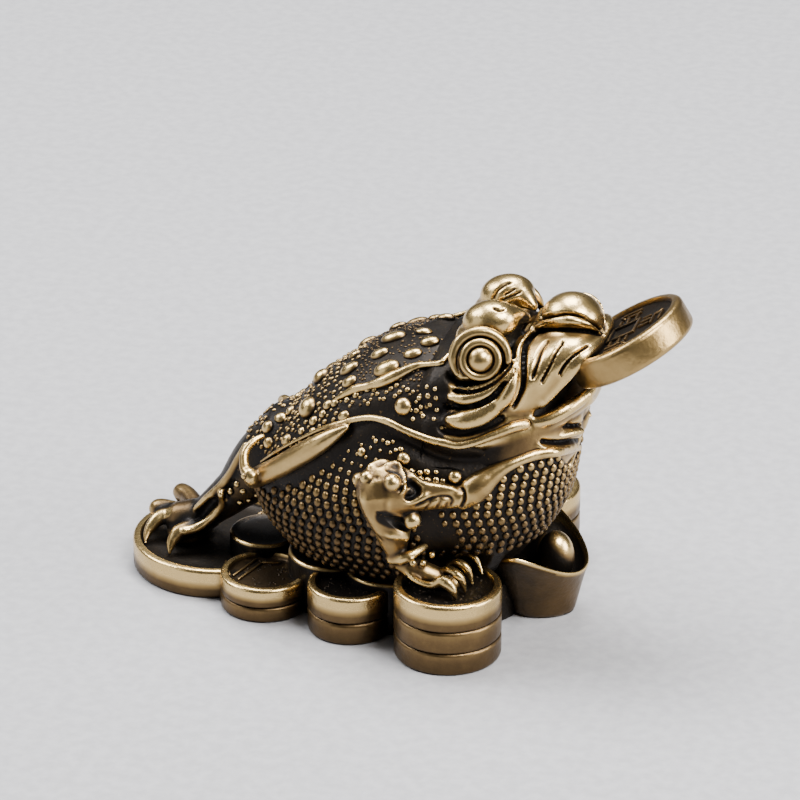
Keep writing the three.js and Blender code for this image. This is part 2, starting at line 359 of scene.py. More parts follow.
trunk = {
    "rows": [  # height, back, front, half width
        [3.4, -7.5, 9.0, 6.6], [5.5, -9.6, 11.2, 8.4], [8, -11.6, 13.3, 9.5], [11, -12.2, 15.0, 9.8],
        [14, -10.9, 15.6, 9.5], [17, -8.5, 16.0, 9.0], [19.5, -6.3, 15.7, 8.3], [21.8, -3.5, 14.3, 7.2],
        [23.6, -0.9, 12.4, 5.4], [24.9, 2.4, 10.5, 3.2]],
    "grain": 0.2,
    "edge": [[13.2, 5.8, 20.0], [9.7, 8.1, 18.7], [6.4, 8.9, 18.8], [2.9, 9.1, 20.1], [0.2, 9.1, 20.0],
             [-3.2, 8.9, 17.1], [-6.8, 8.2, 14.2], [-10.0, 6.6, 12.1], [-11.6, 4.8, 12.5],
             [-11.8, 3.8, 14.0]],
    "hollowDrop": 1.5,  # the dark recess runs this far under the edge
    "hollowCut": (0.9, -0.8),  # half width, depth
    "valleyCut": (0.8, -0.5),
    "footCut": (1.9, -1.7),
    "underHead": 0.35,  # how far the skin sinks below the head's
    "overFoot": [[3.4, 9.6, 6.4], [6.4, 9.3, 6.5], [8.8, 8.3, 6.6], [10.6, 6.6, 6.8]],  # belly draws in here
    "valley": [[7.4, 7.5, 21.4], [4.4, 8.1, 21.1], [1.6, 8.2, 20.9], [-1.0, 7.9, 19.4], [-3.6, 7.4, 17.2]],
}


def skinAt(z, angle, out=0.0):
    z, angle = np.broadcast_arrays(np.array(z, float), np.array(angle, float))
    back, front, half = readRows(trunk["rows"], z.ravel()).T.reshape(3, *z.shape)
    middle = back + (front - back) * 0.56
    c, s = np.cos(angle), np.sin(angle)
    reach = np.where(c > 0, front - middle, middle - back) + out
    power = np.where(c > 0, 0.82, 1.0)
    return np.stack([middle + reach * np.sign(c) * np.abs(c) ** 0.95,
                     (half + out) * np.sign(s) * np.abs(s) ** power, z], axis=-1)


def edgeHeight(x):  # height of the edge of the back skin at a place along the side
    route = np.array(trunk["edge"])[:9][::-1]
    return np.interp(x, route[:, 0], route[:, 2])


def headCovers(points):  # where the head's skin lies over the trunk's
    low = edgeHeight(points[:, 0]) + 0.1
    low = np.minimum(low, low + (16.4 - low) * step(points[:, 0], 8.0, 12.5))
    return step(points[:, 0], 3.4, 6.6) * step(points[:, 2] - low, -0.5, 0.5)


def carveValley(thing):  # the dip along the raised line of the back
    carve(thing, [(line, *trunk["valleyCut"]) for line in bothSides(trunk["valley"])])


def makeTrunk():
    around = np.linspace(0, 2 * math.pi, 96, endpoint=False)
    skin = addSkin("trunk", [skinAt(z, around) for z in np.linspace(3.4, 24.9, 44)])
    body = fuse("toadTrunk", [skin], trunk["grain"], 8)
    drop = np.array([0, 0, trunk["hollowDrop"]])
    carve(body, [(line - drop, *trunk["hollowCut"]) for line in bothSides(trunk["edge"][:8])])
    carveValley(body)
    carve(body, [(line, *trunk["footCut"]) for line in bothSides(trunk["overFoot"])])
    points = pointsOf(body)
    movePoints(body, points - normalsOf(body) * (trunk["underHead"] * headCovers(points))[:, None])
    return body


trunkPiece = makeTrunk()
print("trunk", len(trunkPiece.data.polygons))

# head, with its mouth cut open and its folds carved along picture points

head = {
    "grain": 0.128,
    "skull": [  # x, top, bottom, half width
        [2, 23.4, 17.0, 7.0], [5, 25.0, 17.6, 7.5], [8, 25.8, 17.8, 7.2], [11, 26.0, 18.3, 6.7],
        [13.5, 26.6, 19.6, 6.0], [15.5, 27.4, 21.9, 5.1], [17.4, 27.0, 24.2, 4.0], [18.4, 26.0, 25.0, 2.4]],
    "jaw": [[5, 20.0, 16.0, 7.2], [9, 20.0, 16.8, 7.4], [13, 20.6, 17.6, 6.2], [15.6, 21.7, 18.8, 4.3],
            [17.6, 22.5, 20.4, 2.2]],
    "throat": [[10, 19.6, 13.5, 6.2], [13, 20.4, 14.5, 5.2], [15.2, 20.8, 15.6, 3.6],
               [16.6, 20.6, 17.0, 1.8]],
    "mouth": [(12.2, 19.5), (14.5, 22.0), (17.0, 24.9), (19.8, 26.4), (19.8, 22.4), (17.7, 21.8),
              (15.0, 20.5)],
    "nose": ((15.3, 0, 27.2), (2.7, 2.6, 2.4)),
    "sideBalls": [  # place and half sizes: brow, behind the eye, under the eye
        ((9.0, 2.75, 27.6), (2.4, 1.95, 1.7)), ((7.9, 2.8, 25.8), (1.9, 1.8, 1.6)),
        ((8.9, 4.65, 25.1), (2.3, 1.9, 2.3))],
    "brow": [(9.4, 2.6, 27.7), (10.7, 1.9, 27.8), (11.6, 1.2, 27.5)],
    "browThick": [1.35, 1.0, 0.5],
    "browTurn": (0, -12, 0),
    "rear": [(3.2, 10), (3.2, 30), (-20, 30), (-20, 10)],  # side outline of what the trunk covers
    "lobes": [  # picture points, thickness, how far out; the last two lie on the chin
        ([(448, 417.5), (460, 420.5), (478, 416.5), (494, 406), (506, 393), (514, 380), (518, 367)],
         [0.5, 0.92, 0.95, 0.84, 0.62, 0.42, 0.25], 0.05),
        ([(497, 407), (506, 397), (512, 384), (515.5, 370)], [0.5, 0.6, 0.5, 0.25], 0.55),
        ([(450, 397.5), (465, 399), (481, 395.5), (494, 388), (505, 377), (513, 365)],
         [0.3, 0.52, 0.52, 0.43, 0.33, 0.18], 0.25),
        ([(455, 387), (470, 388.5), (484, 385), (496, 378), (506, 368), (512, 359)],
         [0.12, 0.22, 0.22, 0.21, 0.18, 0.12], 0.4),
        ([(538, 327), (530, 333), (524, 340), (519, 350), (518, 365), (518.5, 380), (516, 393), (511, 405)],
         [0.2, 0.24, 0.26, 0.3, 0.3, 0.28, 0.24, 0.16], 0.2),
        ([(532, 329), (545, 323.5), (561, 320.5), (576, 321), (590, 325), (600, 331)],
         [0.26, 0.36, 0.4, 0.4, 0.3, 0.14], 0.08),
        ([(526, 424), (545, 420.5), (563, 411.5), (580, 399.5), (592, 389)],
         [0.42, 0.56, 0.6, 0.58, 0.45], 0.0),
        ([(582, 431), (573, 433), (561, 436.5)], [0.3, 0.32, 0.2], 0.1),
        ([(577, 446), (563, 449.5), (546, 449), (537, 445)], [0.25, 0.34, 0.3, 0.18], 0.1),
    ],
    "ridges": [  # picture points, half width, rise
        ([(603, 338), (590, 352), (576, 368), (560, 386), (542, 405), (527, 421)], 0.45, 0.28),
    ],
    "grooves": [
        ([(449, 370), (453, 379), (463, 384), (480, 382), (494, 374.5), (503.5, 363), (507.5, 352),
          (508, 341)], 0.34, -0.8),
        ([(452, 390.5), (470, 392.2), (484, 388.6), (496.5, 381.5), (506.5, 371), (513, 361)], 0.12, -0.35),
        ([(443, 405.5), (458, 407), (474, 405.5), (488, 400), (499, 390.5), (509, 378.5), (515, 367)],
         0.17, -0.5),
        ([(438, 425), (446, 431.5), (462, 433.5), (481, 429), (494, 423.5), (506, 416.5)], 0.28, -0.55),
        ([(605, 335.5), (588, 331.5), (570, 330), (553, 330), (542, 331), (534, 335)], 0.13, -0.42),
        ([(539, 332), (533, 336), (526.5, 343), (524.5, 352), (524, 364), (524.5, 376), (523, 388),
          (518.5, 399), (513, 409)], 0.17, -0.5),
        ([(533, 322.5), (543, 318), (554, 315.5), (569, 314), (583, 317.5), (596, 325), (605, 333)],
         0.14, -0.6),
        ([(547.5, 340), (541, 350), (537, 362), (532, 380)], 0.16, -0.45),
        ([(563.5, 341), (556, 352), (549, 368), (541, 384)], 0.12, -0.4),
        ([(589, 345), (576, 354), (566, 364), (559, 376)], 0.12, -0.4),
        ([(506, 346), (511, 337), (519, 329), (531, 321)], 0.45, -0.7),
    ],
    "shaded": [([(505, 345), (510, 337), (517, 329), (525, 321)], 0.8),
               ([(509, 345), (509, 358), (504, 369)], 0.5),
               ([(441, 427), (448, 432.5), (462, 434.5), (481, 430), (495, 424.5)], 0.4)],
    "chin": [  # grooves under the lip, flatter on the far side
        ([(563, 426.5), (575, 426), (585, 424.2)], 0.17, -0.42),
        ([(540, 441), (560, 442.5), (581, 440)], 0.17, -0.42)],
    "chinDip": [[17.1, 0, 19.4], [16.8, 0, 17.8], [16.4, 0, 16.6]],
    "browMarks": [  # one on the near brow, then three on the far one
        ([(493, 307), (499, 310.5), (506, 309)], 0.11, -0.22),
        ([(492, 300), (497, 291), (506, 284), (512, 283)], 0.12, -0.2),
        ([(503, 296), (510, 292), (516, 288)], 0.11, -0.18),
        ([(500, 301), (510, 297), (522, 291)], 0.11, -0.18),
    ],
}


def uprightRings(rows, count, around, roundness):
    rows = np.array(rows)
    angle = np.linspace(0, 2 * math.pi, around, endpoint=False)
    c, s = np.cos(angle), np.sin(angle)
    rings = []
    for x in np.linspace(rows[0, 0], rows[-1, 0], count):
        top, bottom, half = readRows(rows, x)[0]
        rings.append(np.column_stack([
            np.full(around, x), half * np.sign(c) * np.abs(c) ** roundness,
            (top + bottom) / 2 + (top - bottom) / 2 * np.sign(s) * np.abs(s) ** roundness]))
    return rings


def addWedge(outline, halfWidth):  # a prism across the head from its side outline
    rings = [[(x, y, z) for x, z in outline] for y in (-halfWidth, halfWidth)]
    return addSkin("wedge", rings)


def makeHead():
    lumps = [addSkin("skull", uprightRings(head["skull"], 34, 64, 0.8)),
             addSkin("jaw", uprightRings(head["jaw"], 24, 56, 0.8)),
             addSkin("throat", uprightRings(head["throat"], 20, 48, 0.9)),
             addBall(*head["nose"])]
    for side in (-1, 1):
        brow, *others = [(np.array(place) * (1, side, 1), radii) for place, radii in head["sideBalls"]]
        lumps.append(addBall(*brow, head["browTurn"]))
        lumps.append(addTube(np.array(head["brow"]) * (1, side, 1), head["browThick"]))
        lumps += [addBall(*ball) for ball in others]
    around = np.linspace(0, 2 * math.pi, 96, endpoint=False)
    lumps.append(addSkin("cheeks", [skinAt(z, around, 0.05) for z in np.linspace(15.0, 24.9, 26)]))
    body = fuse("toadHead", lumps, 0.2, 4)
    for cutter in (addWedge(head["mouth"], 9), addWedge(head["rear"], 20)):
        finishWith(body, "BOOLEAN", operation="DIFFERENCE", solver="EXACT", object=cutter)
        bpy.data.objects.remove(cutter)
    tree = treeOf(body)
    lobes = [(onGuide(line, tree, out), thick) for line, thick, out in head["lobes"]]
    tubes = [addTube(line, thick) for line, thick in lobes]
    tubes += [addTube(mirrored(line), thick) for line, thick in lobes[:-2]]
    for line, thick in lobes[-2:]:  # flatter on the far side of the chin
        tubes.append(addTube(mirrored(line), [0.5 * r for r in thick]))
    body = fuse("toadHead", [body] + tubes, head["grain"], 7)
    points = pointsOf(body)  # the rear and lower ends run in under the trunk's skin
    below = step(edgeHeight(points[:, 0]) - points[:, 2], 0.0, 0.9) * step(points[:, 0], 12.4, 7.0)
    sunk = np.maximum(0.45 * step(points[:, 0], 5.2, 3.4), 1.5 * below)
    movePoints(body, points - normalsOf(body) * sunk[:, None])
    carveValley(body)
    tree = treeOf(body)
    for group in ("ridges", "grooves"):
        strokes = strokesOn(tree, head[group])
        carve(body, [(side, width, depth) for line, width, depth in strokes for side in bothSides(line)])
    chin = strokesOn(tree, head["chin"])
    chin += [(mirrored(line), width * 1.6, depth * 0.35) for line, width, depth in chin]
    carve(body, [(np.array(head["chinDip"]), 1.0, -0.4)] + chin)
    carve(body, strokesOn(tree, head["browMarks"]))
    return body


headPiece = makeHead()
print("head", len(headPiece.data.polygons))

# smooth bands: edge of the back skin, ridge of the back, collar

bands = {
    "ridge": [(449, 356), (442, 363.5), (432, 365), (420, 366), (409, 370), (396, 376.5), (383, 382.5),
              (370, 386.5), (356, 390), (338, 399)],
    "ridgeThick": [0.22, 0.28, 0.28, 0.32, 0.42, 0.52, 0.52, 0.36, 0.42, 0.22],
    "rope": [(524, 423), (512, 427), (500, 432), (487, 437), (474, 442), (459, 444.5), (444, 442), (430, 439),
             (409, 431), (389, 422), (373, 418), (357, 419), (345, 422), (332, 426), (319, 431), (303, 438.5),
             (290, 445), (275, 454), (263, 462)],
    "ropeThick": [0.5, 0.44, 0.38, 0.36, 0.36, 0.34, 0.32, 0.3, 0.28, 0.26, 0.24, 0.2, 0.2, 0.2, 0.18],
    "cape": [(350, 427), (338, 434), (325, 443), (311, 451.5), (297, 459.5), (284, 467), (268, 474.5),
             (260, 478)],
    "hip": [(252, 477, -6.6), (246, 470, -6.2), (244, 460, -5.7), (246, 450, -5.1), (254, 441, -4.4),
            (263, 436, -3.8)],  # with the place across
    "capeThick": [0.25, 0.6, 0.85, 0.95, 0.95, 0.95, 0.92, 0.88, 0.7, 0.52, 0.42, 0.38, 0.32, 0.22],
    "grain": 0.12,
}


def makeBands():
    lumps = []
    skin = treeOf(headPiece, trunkPiece)

    def lifted(line, rise):  # places on the skin under a line of picture points, raised a little
        found = [seenAt(px, py, skin) for px, py in line]
        return np.array([place + normal * rise for place, normal in found])

    cape = np.vstack([lifted(bands["cape"], 0.45), [atSide(*row) for row in bands["hip"]]])
    lines = [(lifted(bands["rope"], 0.12), "ropeThick"), (cape, "capeThick"),
             (lifted(bands["ridge"], 0.12), "ridgeThick")]
    for line, thick in lines:
        lumps += [addTube(side, bands[thick], steps=90) for side in bothSides(line)]
    return fuse("skinBands", lumps, bands["grain"], 4)


bandPiece = makeBands()
print("bands", len(bandPiece.data.polygons))

# collar, from the shoulder to the chest, also the upper end of the beads there

collar = {
    "line": [(463, 498), (472, 491), (482, 483), (492, 475), (503, 468), (518, 461), (538, 454), (560, 451.5),
             (581, 448)],
    "thick": [1.0, 1.25, 1.15, 0.85, 0.62, 0.46, 0.5, 0.42, 0.32],
}
bodyTree = treeOf(trunkPiece, headPiece)
collar["places"] = np.array([seenAt(*point, bodyTree)[0] for point in collar["line"]])


def collarHeight(y):
    places = collar["places"][::-1]
    return np.interp(abs(y), np.abs(places[:, 1]), places[:, 2])


# eyes: lid, ring and pupil, turned about the eye's own axis

eye = {
    "centre": (8.95, 5.75, 25.4),
    "axis": (0.25, 0.9, 0.36),
    "across": (0.96, -0.25, 0),
    "pupil": 1.13,
    "pupilOut": 0.5,
    "ring": (1.43, 0.35),
    "ringOut": 0.75,
    "back": 2.0,  # radius of the ball behind, which closes the socket
    "backIn": 0.95,
    "lid": 2.27,
    "lidOut": 0.35,
    "lidThick": [0.28, 0.42, 0.47, 0.47, 0.45, 0.4, 0.2],
    "lidFrom": -4,
    "lidTo": 212,
}


def makeEyes():
    lumps = []
    for side in (-1, 1):
        centre = np.array(eye["centre"]) * (1, side, 1)
        axis = unit(np.array(eye["axis"]) * (1, side, 1))
        across = unit(np.array(eye["across"]) * (1, side, 1))
        across = unit(across - axis * np.dot(across, axis))
        up = np.cross(axis, across) * -side
        turn = Vector(axis).to_track_quat("Z", "Y").to_euler()
        angles = np.radians(np.linspace(eye["lidFrom"], eye["lidTo"], 14))
        middle = centre + axis * eye["lidOut"]
        lid = [middle + eye["lid"] * (across * math.cos(a) + up * math.sin(a)) for a in angles]
        lumps.append(addTube(lid, eye["lidThick"], detail=4, steps=60))
        big, small = eye["ring"]
        bpy.ops.mesh.primitive_torus_add(major_radius=big, minor_radius=small, major_segments=56,
                                         minor_segments=14, location=centre + axis * eye["ringOut"],
                                         rotation=turn)
        lumps.append(settle(bpy.context.active_object))
        lumps.append(addBall(centre + axis * eye["pupilOut"], (eye["pupil"],) * 3, segments=40, rings=26))
        lumps.append(addBall(centre - axis * eye["backIn"], (eye["back"],) * 3, segments=32, rings=20))
    return joinAs("toadEyes", lumps)


eyePiece = makeEyes()
print("eyes", len(eyePiece.data.polygons))

# bed of coins

bed = {
    "slab": {"place": (-16.2, 0.6), "radius": 7.4, "thickness": 2.2},
    "front": {"radius": 4.53, "thickness": 2.0, "place": (8.3, 9.9), "stagger": 0.9},
    "mid": {"radius": 3.65, "thickness": 1.95, "across": 7.9, "gap": 1.1},
    "rear": {"radius": 3.85, "thickness": 1.35, "across": 5.9, "gap": 0.7, "face": 0.3},
    "rowFrom": 7.6,  # the stacks are spaced towards the tail from here
    "upper": {"rim": 0.36, "wall": 0.12, "rise": 0.16},
    "upperRear": (5.4, 3.3, 4.7),  # ahead of the rear stack, place across, height
    "upperMid": (2.7, 4.9, 4.8),  # the same, ahead of the middle stack
    "upperTail": (-1.75, 0, 3.9),
    "core": {"depth": 3.6, "location": (1.415, 0, 1.8), "scale": (10.2, 8.1, 1)},
    "rim": 0.62,
    "rimRise": 0.45,
    "edge": 0.3,
    "strokeSeen": 2.75,  # height at which the strokes are read from the picture
    "strokeLevel": 2.62,
    "strokes": [((238, 580), (262, 563)), ((233, 576), (257, 559)), ((262, 563), (281, 563)),
                ((226, 561), (230, 576))],
}


def addBar(place, long, wide, turn):  # a raised stroke on a coin's face
    bpy.ops.mesh.primitive_cube_add(size=1, location=place, rotation=(0, 0, math.radians(turn)),
                                    scale=(long, wide, 0.5))
    return finishWith(settle(bpy.context.active_object), "BEVEL", width=0.1, segments=2, limit_method="NONE")


def addCoin(x, y, low, radius, thickness, rim=0.0, sides=64, wall=0.56, rise=0.45, face=0.1):
    high = low + thickness
    bpy.ops.mesh.primitive_cylinder_add(vertices=sides, radius=radius, depth=thickness,
                                        location=(x, y, (low + high) / 2))
    coin = settle(bpy.context.active_object)

    selectFaces(coin, lambda face: abs(face.normal.z) > 0.9)
    bpy.ops.mesh.bevel(offset=bed["edge"], segments=3, affect="EDGES")
    if rim:
        selectFaces(coin, lambda face: face.normal.z > 0.99 and len(face.vertices) > 8)
        bpy.ops.mesh.inset(thickness=rim - bed["edge"])
        bpy.ops.mesh.inset(thickness=0.16)
        bpy.ops.transform.translate(value=(0, 0, -rise * 0.75))
        bpy.ops.mesh.inset(thickness=0.14)
        bpy.ops.transform.translate(value=(0, 0, -rise * 0.25))
        for _ in range(3):
            bpy.ops.mesh.inset(thickness=radius * 0.16)
    for share in (0.3, 0.6, 0.85):
        bpy.ops.mesh.select_all(action="SELECT")
        bpy.ops.mesh.bisect(plane_co=(x, y, low + thickness * share), plane_no=(0, 0, 1))
    bpy.ops.object.mode_set(mode="OBJECT")
    points = pointsOf(coin)
    far = np.linalg.norm(points[:, :2] - (x, y), axis=1)
    under = high - points[:, 2]
    value = wall * step(far, radius - 0.28, radius - 0.1)  # dark in the line between two coins
    # painted highlight towards the top edge of each coin's wall, and painted shade on the coins lowest down
    value *= 0.8 + 0.2 * step(under, 1.1, 0.2) - 0.12 * step(high, 4.5, 1.5) * (wall > 0.5)
    if rim:
        onTop = step(far, radius - rim - 0.2, radius - rim + 0.05)
        value = np.where(under < thickness * 0.5, np.maximum(value * (far > radius - 0.02), onTop), value)
        value = np.where((far < radius - rim - 0.05), face, value)
        value = np.where(under < 0.1, 1.0, value)
        if rise < bed["rimRise"]:  # a coin of the upper layer gets a painted highlight on the outer side of its rim alone; the rest, under the body, is painted dark as shade
            outward = (np.sign(y) * (points[:, 1] - y) if y else np.abs(points[:, 1])) / radius
            value = 0.95 * step(outward, -0.1, 0.4) * (under < 0.25)
            value = 0.04 + value * step(far, radius - rim - 0.1, radius - 0.1)
    setWearAndShading(coin, value)
    return coin


def addStack(x, y, size, count):
    coins = []
    for i in range(count):
        top = i == count - 1
        low = i * size["thickness"]
        thick = size["thickness"] + (bed["rimRise"] if top else 0.03)
        rim = bed["rim"] if top else 0
        coins.append(addCoin(x, y, low, size["radius"], thick, rim, face=size.get("face", 0.1)))
    return coins


def makeBed():
    slab, front, mid, rear = (bed[key] for key in ("slab", "front", "mid", "rear"))
    midX = bed["rowFrom"] - front["radius"] - mid["radius"] - mid["gap"]
    rearX = midX - mid["radius"] - rear["radius"] - rear["gap"]
    frontX, frontY = front["place"]
    coins = [addCoin(*slab["place"], 0, slab["radius"], slab["thickness"] + bed["rimRise"], bed["rim"], 96)]
    for side in (-1, 1):
        coins += addStack(frontX + side * front["stagger"], side * frontY, front, 3)
        coins += addStack(midX, side * mid["across"], mid, 2)
        coins += addStack(rearX, side * rear["across"], rear, 2)
        for start, (ahead, across, high) in ((rearX, bed["upperRear"]), (midX, bed["upperMid"])):
            coins.append(addCoin(start + ahead, side * across, 0, rear["radius"] + 0.1, high, **bed["upper"]))
    ahead, across, high = bed["upperTail"]
    coins.append(addCoin(rearX + ahead, across, 0, rear["radius"] - 0.7, high, face=0.0, **bed["upper"]))
    bpy.ops.mesh.primitive_cylinder_add(vertices=64, radius=1, **bed["core"])
    core = settle(bpy.context.active_object)
    finishWith(core, "BEVEL", width=0.2, segments=2)
    evenWear(core, 0.15)
    bars = []
    for ends in bed["strokes"]:
        first, last = (atHeight(*end, bed["strokeSeen"]) for end in ends)
        along, middle = last - first, (first + last) / 2
        for side in (-1, 1):
            turn = -side * math.degrees(math.atan2(along[1], along[0]))
            place = (middle[0], -side * middle[1], bed["strokeLevel"])
            bars.append(evenWear(addBar(place, np.linalg.norm(along), 0.24, turn), 0.55))
    return joinAs("coinBed", coins + bars + [core])


bedPiece = makeBed()
print("coins", len(bedPiece.data.polygons))

# ingot with its dome

ingot = {
    "middle": 12.9, "width": 8.2, "length": 11.6, "height": 4.5, "horn": 2.7, "hornCurve": 2.4,
    "domeAhead": 1.3, "domeRise": 0.4, "domeSize": (1.6, 1.6, 2.4),
    "levels": [  # share of the rim's height, width and length, drop
        (0.0, 0.66, 0.38, 0.0), (0.0, 0.72, 0.43, 0.0), (0.12, 0.76, 0.47, 0.0), (0.5, 0.85, 0.64, 0.0),
        (0.88, 0.95, 0.92, 0.0), (0.95, 1.0, 0.985, 0.0), (1.0, 0.995, 0.98, -0.08),
        (1.0, 0.945, 0.95, -0.08),
        (0.95, 0.9, 0.92, 0.25), (0.9, 0.8, 0.84, 0.6), (0.75, 0.62, 0.62, 0.5), (0.7, 0.4, 0.4, 0.2)],
}


def makeIngot():
    angle = np.linspace(0, 2 * math.pi, 72, endpoint=False)
    c, s = np.cos(angle), np.sin(angle)
    rim = ingot["height"] + ingot["horn"] * np.abs(s) ** ingot["hornCurve"]
    lean = 1.0 * np.abs(s) ** 2  # the horns sit a little towards the tail
    rings = [np.column_stack([
        ingot["middle"] - lean * long + ingot["width"] / 2 * wide * np.sign(c) * np.abs(c) ** 1.15,
        ingot["length"] / 2 * long * s, rim * share - drop]) for share, wide, long, drop in ingot["levels"]]
    hull = addSkin("hull", rings)
    place = (ingot["middle"] + ingot["domeAhead"], 0, ingot["height"] + ingot["domeRise"])
    dome = addBall(place, ingot["domeSize"], segments=40, rings=28)
    return joinAs("boatIngot", [finishWith(hull, "SUBSURF", levels=1, render_levels=1), dome])


ingotPiece = makeIngot()
print("ingot", len(ingotPiece.data.polygons))

# coin held in the mouth

heldCoin = {
    "centre": (19.5, 0.0, 27.0), "radius": 5.5, "thickness": 2.6, "tilt": 31.8, "rim": 0.75, "sunk": 0.4,
    "edge": 0.5, "hole": 0.21, "frameOut": 0.12, "frameLong": 0.55,  # the hole is a share of the radius
    "strokes": [  # on each side of the hole: how far out, place along the side, length, turn
        (2.15, -0.75, 1.1, 0), (2.15, 0.1, 1.1, 0), (2.15, 0.85, 0.9, 0), (2.9, -0.3, 1.5, 90),
        (3.65, 0.0, 1.9, 90), (3.25, 0.9, 0.9, 35)],
}


def makeHeldCoin():
    r, t = heldCoin["radius"], heldCoin["thickness"]
    bpy.ops.mesh.primitive_cylinder_add(vertices=112, radius=r, depth=t, location=(0, 0, -t / 2))
    coin = settle(bpy.context.active_object)
    selectFaces(coin, lambda face: abs(face.normal.z) > 0.9)
    bpy.ops.mesh.bevel(offset=heldCoin["edge"], segments=5, affect="EDGES")
    selectFaces(coin, lambda face: abs(face.normal.z) > 0.99 and len(face.vertices) > 8)
    bpy.ops.mesh.inset(thickness=heldCoin["rim"] - heldCoin["edge"])
    bpy.ops.mesh.inset(thickness=0.12)
    bpy.ops.transform.shrink_fatten(value=-heldCoin["sunk"])
    for _ in range(4):
        bpy.ops.mesh.inset(thickness=0.7)
    bpy.ops.object.mode_set(mode="OBJECT")
    marks, half = [], r * heldCoin["hole"]
    away, long = half + heldCoin["frameOut"], 2 * half + heldCoin["frameLong"]
    for low, strokes in ((-heldCoin["sunk"] - 0.02, heldCoin["strokes"]), (heldCoin["sunk"] + 0.02 - t, [])):
        for turn in range(4):  # raised frame of the square hole, on both faces
            a = math.radians(90 * turn)
            place = (math.cos(a) * away, math.sin(a) * away, low)
            marks.append(addBar(place, long, 0.28, 90 * turn + 90))
            for far, off, size, lean in strokes:
                x = math.cos(a) * far - math.sin(a) * off
                y = math.sin(a) * far + math.cos(a) * off
                marks.append(addBar((x, y, low), size, 0.24, 90 * turn + lean))
    points = pointsOf(coin)
    far = np.linalg.norm(points[:, :2], axis=1)
    setWearAndShading(coin, np.where(far < r - heldCoin["rim"] - 0.05, 0.12, 0.74))
    body = joinAs("heldCoin", [coin] + [evenWear(mark, 0.42) for mark in marks])
    body.rotation_euler = (0, -math.radians(heldCoin["tilt"]), 0)
    body.location = heldCoin["centre"]
    return settle(body)


heldPiece = makeHeldCoin()
print("held coin", len(heldPiece.data.polygons))

# legs

foreleg = {
    "grain": 0.115,
    "upper": [[8.3, -9.0, 14.2], [6.8, -9.4, 14.3], [5.0, -9.9, 14.4], [2.6, -10.4, 14.5]],
    "upperThick": [1.0, 1.15, 1.4, 2.2],
    "fore": [[1.9, -10.4, 14.7], [2.2, -10.4, 13.2], [2.65, -10.4, 11.6], [2.85, -10.3, 10.0],
             [3.1, -10.3, 8.8]],
    "foreThick": [2.3, 2.1, 1.75, 1.3, 0.85],
    "palm": [[3.4, -10.2, 8.1], [5.4, -10.2, 7.2], [7.6, -9.8, 6.4]],
    "palmThick": [0.8, 1.05, 0.9],
    "claws": [  # picture points and heights, from the root to the tip
        [(403, 567, 7.7), (413, 578, 7.3), (424, 584, 7.1), (433, 585, 7.1), (441, 581, 7.5), (448, 584, 7.4),
         (453, 591, 6.9), (456, 600, 6.1)],
        [(440, 572, 7.3), (449, 570, 7.9), (458, 575.5, 7.8), (463, 584, 7.0), (465.5, 594, 6.1)],
        [(449, 565, 7.3), (458, 562.5, 7.9), (466, 567.5, 7.7), (470, 576, 6.9), (473, 586, 6.1)],
        [(456, 556, 7.3), (466, 553, 7.8), (474, 557, 7.6), (479, 565.5, 6.9), (483, 577, 6.1)]],
    "clawThick": [[0.26, 0.28, 0.28, 0.34, 0.56, 0.58, 0.4, 0.14], [0.3, 0.4, 0.42, 0.33, 0.13],
                  [0.28, 0.37, 0.39, 0.3, 0.12], [0.26, 0.34, 0.35, 0.27, 0.12]],
    "cuff": [(392, 559, 8.4), (404, 558, 8.9), (416, 552, 9.3), (427, 544, 9.3), (439, 536, 8.9)],
    "cuffThick": [0.5, 0.5, 0.4, 0.36, 0.3],
    "ridges": [
        ([(366, 470), (376, 464), (389, 461.5), (401, 465), (411, 475), (422, 484), (440, 487), (458, 491)],
         0.34, 0.3),
        ([(384, 465.5), (393, 466), (400, 471), (404, 479), (404.5, 488), (401, 495)], 0.15, 0.34),
        ([(404, 503), (418, 500), (430, 494)], 0.3, 0.15),
        ([(384, 533), (396, 536), (409, 538), (420, 536)], 0.4, 0.3),
        ([(361, 490), (366, 508), (375, 524), (386, 540)], 0.6, 0.2),
    ],
    "grooves": [
        ([(460.5, 487), (463.5, 493), (464, 501), (461, 510)], 0.14, -0.4),
        ([(386, 470), (394, 471.5), (399, 477), (401, 485), (399, 492)], 0.12, -0.3),
        ([(408, 479), (413, 485), (417.5, 491), (412, 496.5), (404, 499)], 0.3, -0.75),
        ([(415, 507), (425, 502), (436, 497.5), (447, 497), (452, 500), (450, 507), (444, 513)], 0.13, -0.35),
        ([(424, 512), (428, 506), (432, 500)], 0.1, -0.25),
        ([(433, 514), (438, 507), (441, 499)], 0.1, -0.25),
        ([(442, 513), (446, 507), (448, 500)], 0.1, -0.25),
        ([(368.5, 479), (369.5, 484)], 0.15, -0.3),
        ([(376, 476), (378, 480)], 0.12, -0.2),
    ],
    "shaded": [([(384, 517), (394, 521), (402, 524)], 0.85), ([(408, 482), (414, 489), (411, 495)], 0.5)],
    "hollow": [(377, 513), (387, 519), (398, 523), (410, 525.5), (424, 525)],
    "hollowThick": [0.2, 0.45, 0.6, 0.6, 0.5],
    "balls": [  # picture point, radius
        ((393, 482), 0.78), ((411.5, 491), 0.32), ((355, 479), 0.62), ((366, 477), 0.62)],
    "knuckle": ((412, 520, -11.0), 0.78),
    "dots": [(413, 563, 8.8), (423, 563, 8.5), (432, 555, 8.8)],
    "dotSize": 0.32,
    "stackShift": 1.4,
}

